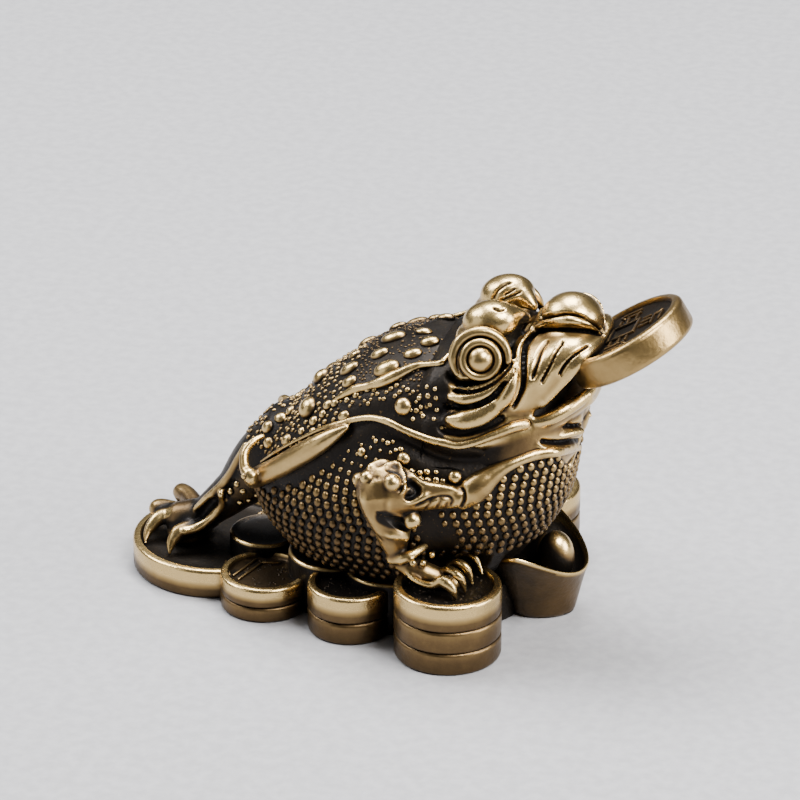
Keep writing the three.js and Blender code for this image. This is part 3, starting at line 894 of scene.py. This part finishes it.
hindleg = {
    "thigh": [[-8.6, 0, 12.6], [-11.6, -0.2, 10.4], [-14.2, -0.4, 7.6], [-17.0, -0.4, 4.9]],
    "thighThick": [4.0, 3.0, 1.9, 1.4],
    "heel": [[-17, -0.4, 4.8], [-19.4, -0.2, 4.1]],
    "heelThick": [1.5, 1.4],
    "nearToes": [  # picture points and heights, thickness
        ([(192, 509, 4.5), (171, 513, 4.2), (158, 519, 3.9), (148.5, 531, 3.1), (144.5, 546, 2.3)],
         [0.9, 0.75, 0.68, 0.46, 0.09]),
        ([(203, 519, 4.3), (190, 527, 4.2), (178.5, 532, 4.0), (171.5, 543, 3.2), (169, 557, 2.3)],
         [0.8, 0.68, 0.66, 0.48, 0.09])],
    "farToes": [[-5.6, 0.9, 1.4], [-4.6, 4.4, 5.2]],  # how far back, place across of knuckle and tip
    "farToeThick": [1.0, 0.85, 0.82, 0.5, 0.12],
    "sole": (-2.4, 0.2, 0.9),
    "soleSize": (2.0, 2.6, 1.3),
    "grain": 0.13,
    "lit": [([(247, 445), (240, 457), (232, 472), (222, 485), (209, 497), (196, 509)], 0.6),
            ([(221, 496), (222.5, 504), (217, 512), (207, 521), (196, 528), (184, 531), (175, 537)], 0.6),
            ([(168, 512), (158, 516), (150, 525)], 0.6)],
    "tendons": [  # picture points, thickness, how far out
        ([(246, 445), (240, 457), (232, 472), (222, 485), (209, 497), (196, 509)],
         [0.3, 0.42, 0.42, 0.42, 0.42, 0.3], 0.1),
        ([(221, 494), (222.5, 503), (217, 512), (207, 521), (196, 528), (184, 531)],
         [0.3, 0.36, 0.38, 0.4, 0.42, 0.4], 0.1),
    ],
    "grooves": [
        ([(217, 498), (209, 506), (200, 515), (194, 520)], 0.35, -0.5),
        ([(236, 480), (228, 490), (226, 502)], 0.2, -0.2),
    ],
}


def makeForelegs():
    lumps = [addTube(foreleg[part], foreleg[part + "Thick"]) for part in ("upper", "fore", "palm")]
    lumps.append(addTube(collar["places"], collar["thick"], steps=60))
    lumps += [addBall(atHeight(*dot), (foreleg["dotSize"],) * 3) for dot in foreleg["dots"]]
    lumps += [addTube([atHeight(*row) for row in claw], thick)
              for claw, thick in zip(foreleg["claws"], foreleg["clawThick"])]
    lumps.append(addTube([atHeight(*row) for row in foreleg["cuff"]], foreleg["cuffThick"]))
    body = fuse("rightForeleg", lumps, foreleg["grain"], 5)
    hollow = addTube(onGuide(foreleg["hollow"], treeOf(body), 0.15), foreleg["hollowThick"])
    finishWith(body, "BOOLEAN", operation="DIFFERENCE", solver="EXACT", object=hollow)
    bpy.data.objects.remove(hollow)
    for group in ("ridges", "grooves"):
        carve(body, strokesOn(treeOf(body), foreleg[group]))
    tree = treeOf(body)
    point, radius = foreleg["knuckle"]
    balls = [addBall(atSide(*point), (radius,) * 3, segments=24, rings=16)]
    for point, radius in foreleg["balls"]:
        place, normal = seenAt(*point, tree)
        balls.append(addBall(place - normal * radius * 0.25, (radius,) * 3, segments=24, rings=16))
    body = fuse("rightForeleg", [body] + balls, foreleg["grain"], 2)
    pick(body)
    bpy.ops.object.duplicate()
    other = bpy.context.active_object
    points = mirrored(pointsOf(other))
    points[:, 0] += foreleg["stackShift"] * step(points[:, 2], 13, 8) * step(points[:, 1], 6, 8)
    movePoints(other, points)
    pick(other)
    bpy.ops.object.mode_set(mode="EDIT")
    bpy.ops.mesh.select_all(action="SELECT")
    bpy.ops.mesh.flip_normals()
    bpy.ops.object.mode_set(mode="OBJECT")
    return joinAs("forelegs", [body, other])


def fromSlab(x, y, z):
    return bed["slab"]["place"][0] + x, y, bed["slab"]["thickness"] + z


def makeHindleg():
    lumps = [addTube(hindleg["thigh"], hindleg["thighThick"]), addTube(hindleg["heel"], hindleg["heelThick"])]
    lumps += [addTube([atHeight(*row) for row in toe], thick) for toe, thick in hindleg["nearToes"]]
    for x, knuckle, tip in hindleg["farToes"]:
        toe = [(-1.8, knuckle * 0.25, 1.7), (x * 0.75, knuckle * 0.75, 2.0), (x, knuckle, 1.9),
               (x - 0.2, (knuckle + tip) / 2, 1.1), (x - 0.25, tip, 0.2)]
        lumps.append(addTube([fromSlab(*place) for place in toe], hindleg["farToeThick"]))
    lumps.append(addBall(fromSlab(*hindleg["sole"]), hindleg["soleSize"]))
    body = fuse("hindleg", lumps, 0.14, 6)
    tree = treeOf(body)
    lines = [(onGuide(line, tree, out), thick) for line, thick, out in hindleg["tendons"]]
    tubes = [addTube(side, thick) for line, thick in lines for side in bothSides(line)]
    body = fuse("hindleg", [body] + tubes, hindleg["grain"], 3)
    strokes = strokesOn(treeOf(body), hindleg["grooves"])
    carve(body, strokes + [(mirrored(line), width, depth) for line, width, depth in strokes])
    return body


forelegPiece = makeForelegs()
hindlegPiece = makeHindleg()
print("legs", len(forelegPiece.data.polygons), len(hindlegPiece.data.polygons))

# beads and warts: one dome modelled once, then copied over the skin

beads = {
    "spacing": 0.94, "radius": 0.37, "rise": 0.24,
    "bellyFrom": 5.4, "bellyTo": 18.2, "footRise": 2.6,
    "chest": 9.5,  # from here on the beads run up to the collar
    "grainyCoins": [  # place, height of the face, reach, how many
        (7.4, 9.9, 6.0, 3.6, 150), (-1.69, 7.9, 3.9, 2.75, 60), (-9.89, 5.9, 2.7, 2.9, 40)],
    "farShift": 1.8,
    "bare": [((440, 541), 2.3, 1.0), ((425, 520), 1.9, 0.9)],  # picture point, reach, middle without beads
    "warts": [  # picture point, half sizes along and across, on the back
        ((394, 338), 1.0, 0.55), ((380, 354), 0.75, 0.45), ((413, 354), 0.72, 0.45),
        ((387, 369), 1.05, 0.62), ((350, 369), 0.85, 0.5), ((350, 382), 0.65, 0.45),
        ((355, 355), 0.55, 0.35), ((322, 377), 0.75, 0.65), ((309, 408), 0.85, 0.8),
        ((298, 396), 0.45, 0.4), ((291, 411), 0.45, 0.4), ((281, 418), 0.5, 0.42), ((268, 427), 0.55, 0.45),
        ((424, 332), 0.62, 0.38), ((430, 342), 0.72, 0.45), ((269, 443), 0.45, 0.42),
        ((287, 440), 0.5, 0.42), ((403.5, 406.5), 0.66, 0.62), ((344, 416), 0.5, 0.36),
        ((328, 405), 0.42, 0.36), ((335, 403), 0.36, 0.32), ((323, 414), 0.32, 0.3),
        ((314, 421), 0.4, 0.36), ((302, 431), 0.3, 0.3), ((313, 431), 0.28, 0.26), ((347, 400), 0.24, 0.22),
        ((356, 395), 0.28, 0.24), ((368, 389), 0.3, 0.26)],
    "singles": [  # picture point, radius, on what lies there
        ((362, 452), 0.42), ((404, 459), 0.6), ((455, 477), 0.6), ((412, 471), 0.26), ((420, 473), 0.28),
        ((427, 472), 0.3), ((421, 479), 0.28), ((428, 480), 0.3), ((436, 480), 0.3), ((443, 481), 0.24),
        ((436, 472), 0.2), ((376, 441), 0.22), ((388, 443), 0.24), ((396, 450), 0.2), ((401, 449), 0.24),
        ((430, 405), 0.22), ((436, 398), 0.22), ((428, 396), 0.26), ((435, 389), 0.2), ((427, 387), 0.2),
        ((421, 407), 0.2), ((419, 398), 0.22), ((437, 410), 0.22), ((434, 419), 0.2), ((423, 416), 0.24),
        ((413, 419), 0.2), ((411, 410), 0.18), ((231, 491), 0.36), ((237, 484), 0.3), ((244, 476), 0.28),
        ((243, 491), 0.3), ((240, 502), 0.28), ((249, 500), 0.26), ((257, 495), 0.26), ((262, 505), 0.24)],
}


def makeDome(segments, rings):
    bpy.ops.mesh.primitive_uv_sphere_add(segments=segments, ring_count=rings, radius=1, location=(0, 0, 0))
    dome = bpy.context.active_object
    bpy.ops.object.mode_set(mode="EDIT")
    bpy.ops.mesh.select_all(action="SELECT")
    bpy.ops.mesh.bisect(plane_co=(0, 0, -0.3), plane_no=(0, 0, 1), clear_inner=True, use_fill=True)
    bpy.ops.object.mode_set(mode="OBJECT")
    return dome


def copyDomes(name, dome, spots):  # a spot: place, normal, direction along, three half sizes
    shape = pointsOf(dome)
    faces = [list(face.vertices) for face in dome.data.polygons]
    place, normal, along, sizes = (np.array([spot[k] for spot in spots]) for k in range(4))
    normal = unit(normal)
    along = unit(along - normal * np.sum(along * normal, axis=1, keepdims=True))
    across = np.cross(normal, along)
    points = (place[:, None] + shape[None, :, 0:1] * (along * sizes[:, 0:1])[:, None]
              + shape[None, :, 1:2] * (across * sizes[:, 1:2])[:, None]
              + shape[None, :, 2:3] * (normal * sizes[:, 2:3])[:, None]).reshape(-1, 3)
    many = [[i + n * len(shape) for i in face] for n in range(len(spots)) for face in faces]
    mesh = bpy.data.meshes.new(name)
    mesh.from_pydata([tuple(p) for p in points], [], many)
    piece = bpy.data.objects.new(name, mesh)
    bpy.context.collection.objects.link(piece)
    piece.data.shade_smooth()
    setWearAndShading(piece, np.tile(step(shape[:, 2], -0.1, 0.75), len(spots)))
    bpy.data.objects.remove(dome)
    return piece


def bellySpots(tree, blockers):
    spots = []
    rowStep = beads["spacing"] * 0.84
    bare = [(seenAt(*point, tree)[0], reach, middle) for point, reach, middle in beads["bare"]]
    for row, z in enumerate(np.arange(beads["bellyFrom"], beads["bellyTo"], rowStep)):
        loop = skinAt(z, np.linspace(-math.pi, math.pi, 721))
        far = np.r_[0, np.cumsum(np.linalg.norm(np.diff(loop, axis=0), axis=1))]
        count = int(far[-1] / beads["spacing"])
        for i in range(count):
            s = (i + 0.5 * (row % 2)) / count * far[-1]
            p = np.array([np.interp(s, far, loop[:, k]) for k in range(3)])
            x, y = p[0], p[1]
            highest = collarHeight(y) - 0.4 if x > beads["chest"] else edgeHeight(x) - 1.6
            if z > highest or z < beads["bellyFrom"] + beads["footRise"] * step(x, 2, 8):
                continue
            way = unit(p - np.array([1.5, 0, z]))
            near, normal, _, _ = tree.ray_cast(p + way * 2.5, -way)
            if near is None:
                continue
            out = np.array(near) + np.array(normal) * 0.35
            if any(inside(other, out) for other in blockers):
                continue
            shade = 1 - 0.55 * step(z, 12.5, 16) * (x < beads["chest"])
            for middle, reach, empty in bare:
                shade *= 0.45 + 0.55 * step(np.linalg.norm(p * (1, -np.sign(y), 1) - middle), empty, reach)
            if shade < 0.5 and x > 3:
                continue
            r = beads["radius"] * shade * dice.uniform(0.92, 1.06)
            spots.append((np.array(near), np.array(normal), np.array([0, 0, 1.0]),
                          (r * 1.16, r, beads["rise"] * shade + 0.06)))
    return spots


def inside(tree, place):  # an odd number of walls overhead
    place, way, walls = Vector(place), Vector((0.12, 0.07, 0.99)).normalized(), 0
    while walls < 60:
        hit = tree.ray_cast(place, way)[0]
        if hit is None:
            break
        place, walls = hit + way * 0.001, walls + 1
    return walls % 2 == 1


def wartSpots(tree):
    spots = []
    for (px, py), long, wide in beads["warts"]:
        place, normal = seenAt(px, py, tree)
        for sign in ((1, 1, 1), (1, -1, 1)):
            if sign[1] < 0 and abs(place[1]) < 1.0:
                continue
            spots.append((place * sign, normal * sign, np.array([0.85, 0, 0.5]),
                          (long * 1.2, wide * 1.25, min(long, wide) * 0.95)))
    return spots


def crumbSpots(tree, taken, blockers):  # small beads between the warts of the back
    spots = []
    taken = [(np.array(s[0]), max(s[3][0], s[3][1])) for s in taken]
    for _ in range(5200):
        z, angle = dice.uniform(10.5, 24.8), dice.uniform(math.pi * 0.36, math.pi * 1.64)
        p = skinAt(z, angle)
        if z < edgeHeight(p[0]) + 0.9 or p[0] > 7.5:
            continue
        fine = p[0] > -2.5 and z > edgeHeight(p[0]) + 2.4  # between the warts of the shoulders
        out = unit(p - np.array([2.0, 0, z]))
        near, normal, _, _ = tree.ray_cast(p + out * 4, -out)
        if near is None:
            continue
        near, normal = np.array(near), np.array(normal)
        r = dice.uniform(0.09, 0.15) if fine else dice.uniform(0.14, 0.26)
        if any(abs(q[0] - near[0]) < w + r and np.linalg.norm(q - near) < (w + r) * 1.02 for q, w in taken):
            continue
        if any(inside(other, near + normal * 0.3) for other in blockers):
            continue
        taken.append((near, r))
        spots.append((near, normal, np.array([0.8, 0, 0.5]), (r * 1.1, r, r * 0.8)))
    return spots


def coinSpots():  # grain cast into the sunk faces of the coins
    spots = []
    for x, y, face, reach, count in beads["grainyCoins"]:
        for _ in range(count):
            turn, far = dice.uniform(0, 2 * math.pi), reach * dice.uniform(0, 1) ** 0.5
            r = dice.uniform(0.07, 0.14)
            for side in (-1, 1):
                shift = beads["farShift"] if side > 0 and x > 5 else 0
                place = np.array([x + shift + far * math.cos(turn), side * (y + far * math.sin(turn)), face])
                spots.append((place, np.array([0, 0, 1.0]), np.array([1.0, 0, 0]), (r, r, r * 0.6)))
    return spots


def singleSpots(tree):
    spots = []
    for (px, py), r in beads["singles"]:
        place, normal = seenAt(px, py, tree)
        for sign in ((1, 1, 1), (1, -1, 1)):
            spots.append((place * sign, normal * sign, np.array([1.0, 0, 0.3]), (r, r, r * 0.85)))
    return spots


solidTrees = [treeOf(p) for p in (headPiece, bandPiece, forelegPiece, hindlegPiece, bedPiece, ingotPiece)]
allTree = treeOf(trunkPiece, headPiece, bandPiece, forelegPiece, hindlegPiece)
backTree = treeOf(trunkPiece, hindlegPiece)
warts = wartSpots(backTree)
wartPiece = copyDomes("backWarts", makeDome(20, 14), warts)
belly = bellySpots(bodyTree, solidTrees)
crumbs = crumbSpots(backTree, warts, solidTrees[:3])
singles = singleSpots(allTree)
grainy = coinSpots()
beadPiece = copyDomes("skinBeads", makeDome(8, 7), belly + crumbs + grainy)
singlePiece = copyDomes("looseBeads", makeDome(14, 10), singles)
print("beads", len(belly), len(crumbs), len(singles), len(beadPiece.data.polygons))

# wear and painted shading: high places are rubbed bright, sheltered ones stay dark, and painted shade and
# painted highlights are added on the head, ingot, coins and beads

wear = {
    "rays": 14, "quickRays": 5, "reach": 2.6,
    "head": (0.74, 8.0, 1.8),  # base, share of the small relief, share of the wide relief
    "bands": (0.6, 4.5, 1.3),
    "forelegs": (0.48, 6.0, 1.7),
    "hindleg": (0.12, 4.5, 2.6),
}


def openSky(things):  # share of open sky over each point, against all pieces together
    everything = treeOf(*things)
    count = wear["rays"]
    k = np.arange(count) + 0.5
    rise = np.sqrt(1 - k / count)
    turn = math.pi * (1 + 5 ** 0.5) * k
    flat = np.sqrt(1 - rise ** 2)
    rays = np.column_stack([flat * np.cos(turn), flat * np.sin(turn), rise])
    for thing in things:
        if thing in (beadPiece, wartPiece, singlePiece):
            continue
        points, normals = pointsOf(thing), normalsOf(thing)
        side = unit(np.cross(normals, np.where(np.abs(normals[:, 2:]) < 0.9, (0, 0, 1.0), (1.0, 0, 0))))
        other = np.cross(normals, side)
        closed = np.zeros(len(points))
        start = points + normals * 0.04
        for ray in rays:
            way = side * ray[0] + other * ray[1] + normals * ray[2]
            for i in range(len(points)):
                hit = everything.ray_cast(start[i], way[i], wear["reach"])[3]
                if hit is not None:
                    closed[i] += 1 - hit / wear["reach"]
        sky = 1 - closed / count
        yield thing, spread(sky[:, None], edgesOf(thing), 2)[:, 0]


def wearTrunk(thing, sky):
    return 0.06 + 1.1 * np.clip(reliefOf(thing, 0.2, 0.9), 0, 0.3) * sky


def wearRelief(thing, grain, amounts, sky):
    base, fine, broad = amounts
    small = reliefOf(thing, grain, 0.28)
    wide = reliefOf(thing, grain, 0.9)
    return (base + fine * small + broad * wide) * step(sky, 0.3, 0.85)


def nearLines(thing, rows):  # 1 along picture lines on either side of a piece, 0 beyond the reach of each
    tree, points = treeOf(thing), pointsOf(thing)
    points = np.column_stack([points[:, 0], -np.abs(points[:, 1]), points[:, 2]])
    value = np.zeros(len(points))
    for line, reach in rows:
        for place in smoothLine(onSurface(line, tree, 9), 24):
            value = np.maximum(value, step(np.linalg.norm(points - place, axis=1), reach, reach * 0.6))
    return value


def headWearAndShade(thing, sky):
    points = pointsOf(thing)
    value = wearRelief(thing, head["grain"], wear["head"], sky)
    rear = step(points[:, 0] + 0.35 * np.clip(points[:, 2] - 24.5, 0, 4), 7.0, 6.4)  # beaded skin stays dark
    low = step(edgeHeight(points[:, 0]) - points[:, 2], 0.2, 1.0)
    neck = low * (step(points[:, 0], 15.5, 12.5) * 0.5 + step(points[:, 0], 12.4, 9.6) * 0.46)
    chin = step(collarHeight(points[:, 1]) - points[:, 2], 0.0, 0.5) * step(points[:, 0], 9.0, 10.0)
    # painted shade along picture lines between the brow and the nose and along the groove under the cheek
    # folds
    shaded = nearLines(thing, head["shaded"])
    return value * (1 - 0.9 * rear) * (1 - neck) * (1 - 0.9 * chin) * (1 - 0.9 * shaded)


def ingotWearAndShading(thing, sky):
    points, normals = pointsOf(thing), normalsOf(thing)
    across = np.abs(points[:, 1] / (ingot["length"] / 2))
    rim = ingot["height"] + ingot["horn"] * across ** ingot["hornCurve"]
    # painted shade: the outer wall is darker towards its rear end
    value = 0.3 + 0.14 * step(points[:, 0], ingot["middle"] - 1, ingot["middle"] + 3)
    outside = np.sum(normals[:, :2] * (points[:, :2] - (ingot["middle"] - 0.5, 0)), axis=1) > -0.2
    value = np.where(outside, value, 0.08)
    value = np.maximum(value, 1.0 * step(points[:, 2] - rim, -0.42, -0.12) * (normals[:, 2] > -0.3))
    dome = np.linalg.norm(points[:, :2] - (ingot["middle"] + ingot["domeAhead"], 0), axis=1) < 1.65
    domeLitSide = step(normals @ unit(np.array([0.5, 0, 1.0])), 0.3, 0.75)  # painted highlight on the dome's upper front, painted shade on its side towards the body
    return np.where(dome, 0.12 + 0.85 * domeLitSide, value) * step(sky, 0.25, 0.8)


allPieces = [trunkPiece, bandPiece, headPiece, eyePiece, bedPiece, ingotPiece, heldPiece, forelegPiece,
             hindlegPiece, beadPiece, wartPiece, singlePiece]
for thing, sky in openSky(allPieces):
    if thing is trunkPiece:
        setWearAndShading(thing, wearTrunk(thing, sky))
    elif thing is headPiece:
        setWearAndShading(thing, headWearAndShade(thing, sky))
    elif thing is bandPiece:
        curl = step(pointsOf(thing)[:, 0], -11.2, -12.0)
        setWearAndShading(thing, wearRelief(thing, bands["grain"], wear["bands"], sky) * (1 - 0.3 * curl))
    elif thing is forelegPiece:
        shade = 1 - 0.9 * nearLines(thing, foreleg["shaded"])
        setWearAndShading(thing, wearRelief(thing, foreleg["grain"], wear["forelegs"], sky) * shade)
    elif thing is hindlegPiece:
        dark = 0.1 + 0.9 * step(pointsOf(thing)[:, 0], -11.0, -12.2)  # the thigh is skinned like the back
        lit = nearLines(thing, hindleg["lit"]) * step(normalsOf(thing)[:, 2], -0.1, 0.4)
        rubbed = wearRelief(thing, hindleg["grain"], wear["hindleg"], sky) * dark
        setWearAndShading(thing, np.maximum(rubbed, lit * step(sky, 0.2, 0.7)))
    elif thing is ingotPiece:
        setWearAndShading(thing, ingotWearAndShading(thing, sky))
    elif thing is eyePiece:
        setWearAndShading(thing, 0.9 * step(sky, 0.3, 0.85))
    else:  # coins already hold a value, which is kept where the sky is open
        setWearAndShading(thing, getWearAndShading(thing) * step(sky, 0.25, 0.75))
shares = [np.full(len(belly), 1.0), [0.5 if spot[3][0] < 0.166 else 0.95 for spot in crumbs],
          np.full(len(grainy), 0.55)]
perBead = len(beadPiece.data.vertices) // len(belly + crumbs + grainy)
# beads are painted darker lower down on the belly, as shade
setWearAndShading(beadPiece, getWearAndShading(beadPiece) * np.repeat(np.concatenate(shares), perBead)
        * (0.44 + 0.36 * step(pointsOf(beadPiece)[:, 2], 9, 17)))
print("wear")


# antique brass: bright where it is rubbed or a highlight is painted, dark in the hollows and where shade is
# painted

class Socket:  # a value in a material, worked on with plain operators
    def __init__(self, finish, link):
        self.finish, self.link = finish, link

    def maths(self, kind, other, swap=False):
        first, second = (other, self) if swap else (self, other)
        return self.finish.add("ShaderNodeMath", {"operation": kind}, {0: first, 1: second})

    def __add__(self, other):
        return self.maths("ADD", other)

    def __sub__(self, other):
        return self.maths("SUBTRACT", other)

    def __rsub__(self, other):
        return self.maths("SUBTRACT", other, True)

    def __mul__(self, other):
        return self.maths("MULTIPLY", other)

    def atLeast(self, other):
        return self.maths("MAXIMUM", other)


class Finish:
    def __init__(self, name):
        self.material = bpy.data.materials.new(name)
        self.material.use_nodes = True
        self.nodes, self.links = self.material.node_tree.nodes, self.material.node_tree.links
        self.nodes.clear()
        self.place = self.add("ShaderNodeTexCoord", output="Object")

    def add(self, kind, settings=None, values=None, output=0):
        node = self.nodes.new(kind)
        for key, value in (settings or {}).items():
            if key == "stops":
                ramp = node.color_ramp.elements
                ramp[0].position, ramp[1].position = value[0][0], value[-1][0]
                for place, _ in value[1:-1]:
                    ramp.new(place)
                for element, (_, colour) in zip(ramp, value):
                    element.color = (*colour, 1)
            else:
                setattr(node, key, value)
        for key, value in (values or {}).items():
            if isinstance(value, Socket):
                self.links.new(value.link, node.inputs[key])
            else:
                node.inputs[key].default_value = value
        return Socket(self, node.outputs[output])

    def noise(self, scale, detail, **more):
        values = {"Vector": self.place, "Scale": scale, "Detail": detail, **more}
        return self.add("ShaderNodeTexNoise", {}, values)

    def ramp(self, stops, value):
        return self.add("ShaderNodeValToRGB", {"stops": stops}, {"Fac": value})

    def surface(self, values):
        shader = self.add("ShaderNodeBsdfPrincipled", {}, values, "BSDF")
        self.links.new(shader.link, self.nodes.new("ShaderNodeOutputMaterial").inputs["Surface"])
        return self.material


brass = {
    "colours": [(0.0, (0.006, 0.005, 0.005)), (0.22, (0.020, 0.015, 0.010)), (0.45, (0.115, 0.073, 0.034)),
                (0.72, (0.31, 0.205, 0.080)), (1.0, (0.62, 0.44, 0.185))],
    "cloudScale": 650, "cloud": 0.18,
    "grainScale": 4200, "grain": 0.06,
    "darkRough": 0.48, "brightRough": 0.27, "roughGrain": 0.06,
    "lumpScale": 1500, "poreScale": 4300, "fleck": 11.0,
    "bumpDepth": 0.00005,
}


def brassFinish():
    finish = Finish("antique_brass")
    wornAndShaded = finish.add("ShaderNodeAttribute", {"attribute_name": "wear"}, output="Fac")
    cloud = finish.noise(brass["cloudScale"], 3.0)
    grain = finish.noise(brass["grainScale"], 4.0, Roughness=0.65)
    pore = finish.noise(brass["poreScale"], 2.0)
    lump = finish.noise(brass["lumpScale"], 2.0)
    # the base colour follows rubbed wear and patina, and the painted shade and painted highlights held in the
    # same values
    polishAndShading = wornAndShaded + (cloud - 0.5) * brass["cloud"] + (grain - 0.5) * brass["grain"]
    specks = (pore - 0.6).atLeast(0.0) * (0.25 - wornAndShaded).atLeast(0.0)  # on the dark skin alone
    polishAndShading += specks * brass["fleck"]
    rough = brass["darkRough"] - polishAndShading * (brass["darkRough"] - brass["brightRough"])
    height = lump + grain * 0.1 + pore * (1 - wornAndShaded) * 0.7  # the dark skin is rougher
    relief = finish.add("ShaderNodeBump", {}, {
        "Strength": 0.8, "Distance": brass["bumpDepth"], "Height": height}, "Normal")
    return finish.surface({
        "Base Color": finish.ramp(brass["colours"], polishAndShading),
        "Roughness": rough + (grain - 0.5) * brass["roughGrain"],
        "Metallic": finish.ramp([(0.0, (0.8,) * 3), (0.4, (1.0,) * 3)], polishAndShading),
        "Normal": relief})


brassMaterial = brassFinish()

for thing in allPieces:
    thing.scale = (0.001,) * 3
    settle(thing)
    bpy.ops.object.shade_smooth_by_angle(angle=math.radians(40))
    thing.data.materials.clear()
    thing.data.materials.append(brassMaterial)
    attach(thing, "root")
    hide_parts("money_toad")

# floor and light

studio = {
    "floor": (0.30, 0.30, 0.315),
    "world": (0.75, 0.77, 0.8),
    "worldStrength": 0.1,
    "aim": (0, 0, 0.014),
    "lights": [  # name, place, size, power, colour
        ("key", (0.24, -0.10, 0.38), 0.20, 4.8, (1.0, 0.98, 0.95)),
        ("top", (-0.05, 0.14, 0.42), 0.22, 4.6, (1.0, 1.0, 1.0)),
        ("fill", (-0.36, -0.28, 0.14), 0.30, 0.4, (0.94, 0.96, 1.0)),
        ("left", (-0.34, 0.02, 0.34), 0.20, 2.8, (1.0, 1.0, 1.0)),
        ("right", (0.42, 0.0, 0.16), 0.20, 2.4, (1.0, 0.98, 0.95))],
}


def makeStudio():
    bpy.ops.mesh.primitive_plane_add(size=6, location=(0, 0, 0))
    floor = bpy.context.active_object
    floor.name = "floor"
    finish = Finish("pale_floor")
    stops = [(place, [c * share for c in studio["floor"]]) for place, share in ((0.35, 0.92), (0.65, 1.06))]
    shade = finish.ramp(stops, finish.noise(900.0, 3.0))
    floor.data.materials.append(finish.surface({"Base Color": shade, "Roughness": 0.75}))
    world = bpy.data.worlds.new("studio")
    world.use_nodes = True
    world.node_tree.nodes["Background"].inputs[0].default_value = (*studio["world"], 1)
    world.node_tree.nodes["Background"].inputs[1].default_value = studio["worldStrength"]
    bpy.context.scene.world = world
    for name, place, size, power, colour in studio["lights"]:
        lamp = bpy.data.lights.new(name, "AREA")
        lamp.size, lamp.energy, lamp.color = size, power, colour
        light = bpy.data.objects.new(name, lamp)
        bpy.context.collection.objects.link(light)
        light.location = place
        light.rotation_euler = (Vector(place) - Vector(studio["aim"])).to_track_quat("Z", "Y").to_euler()


makeStudio()
print("studio")
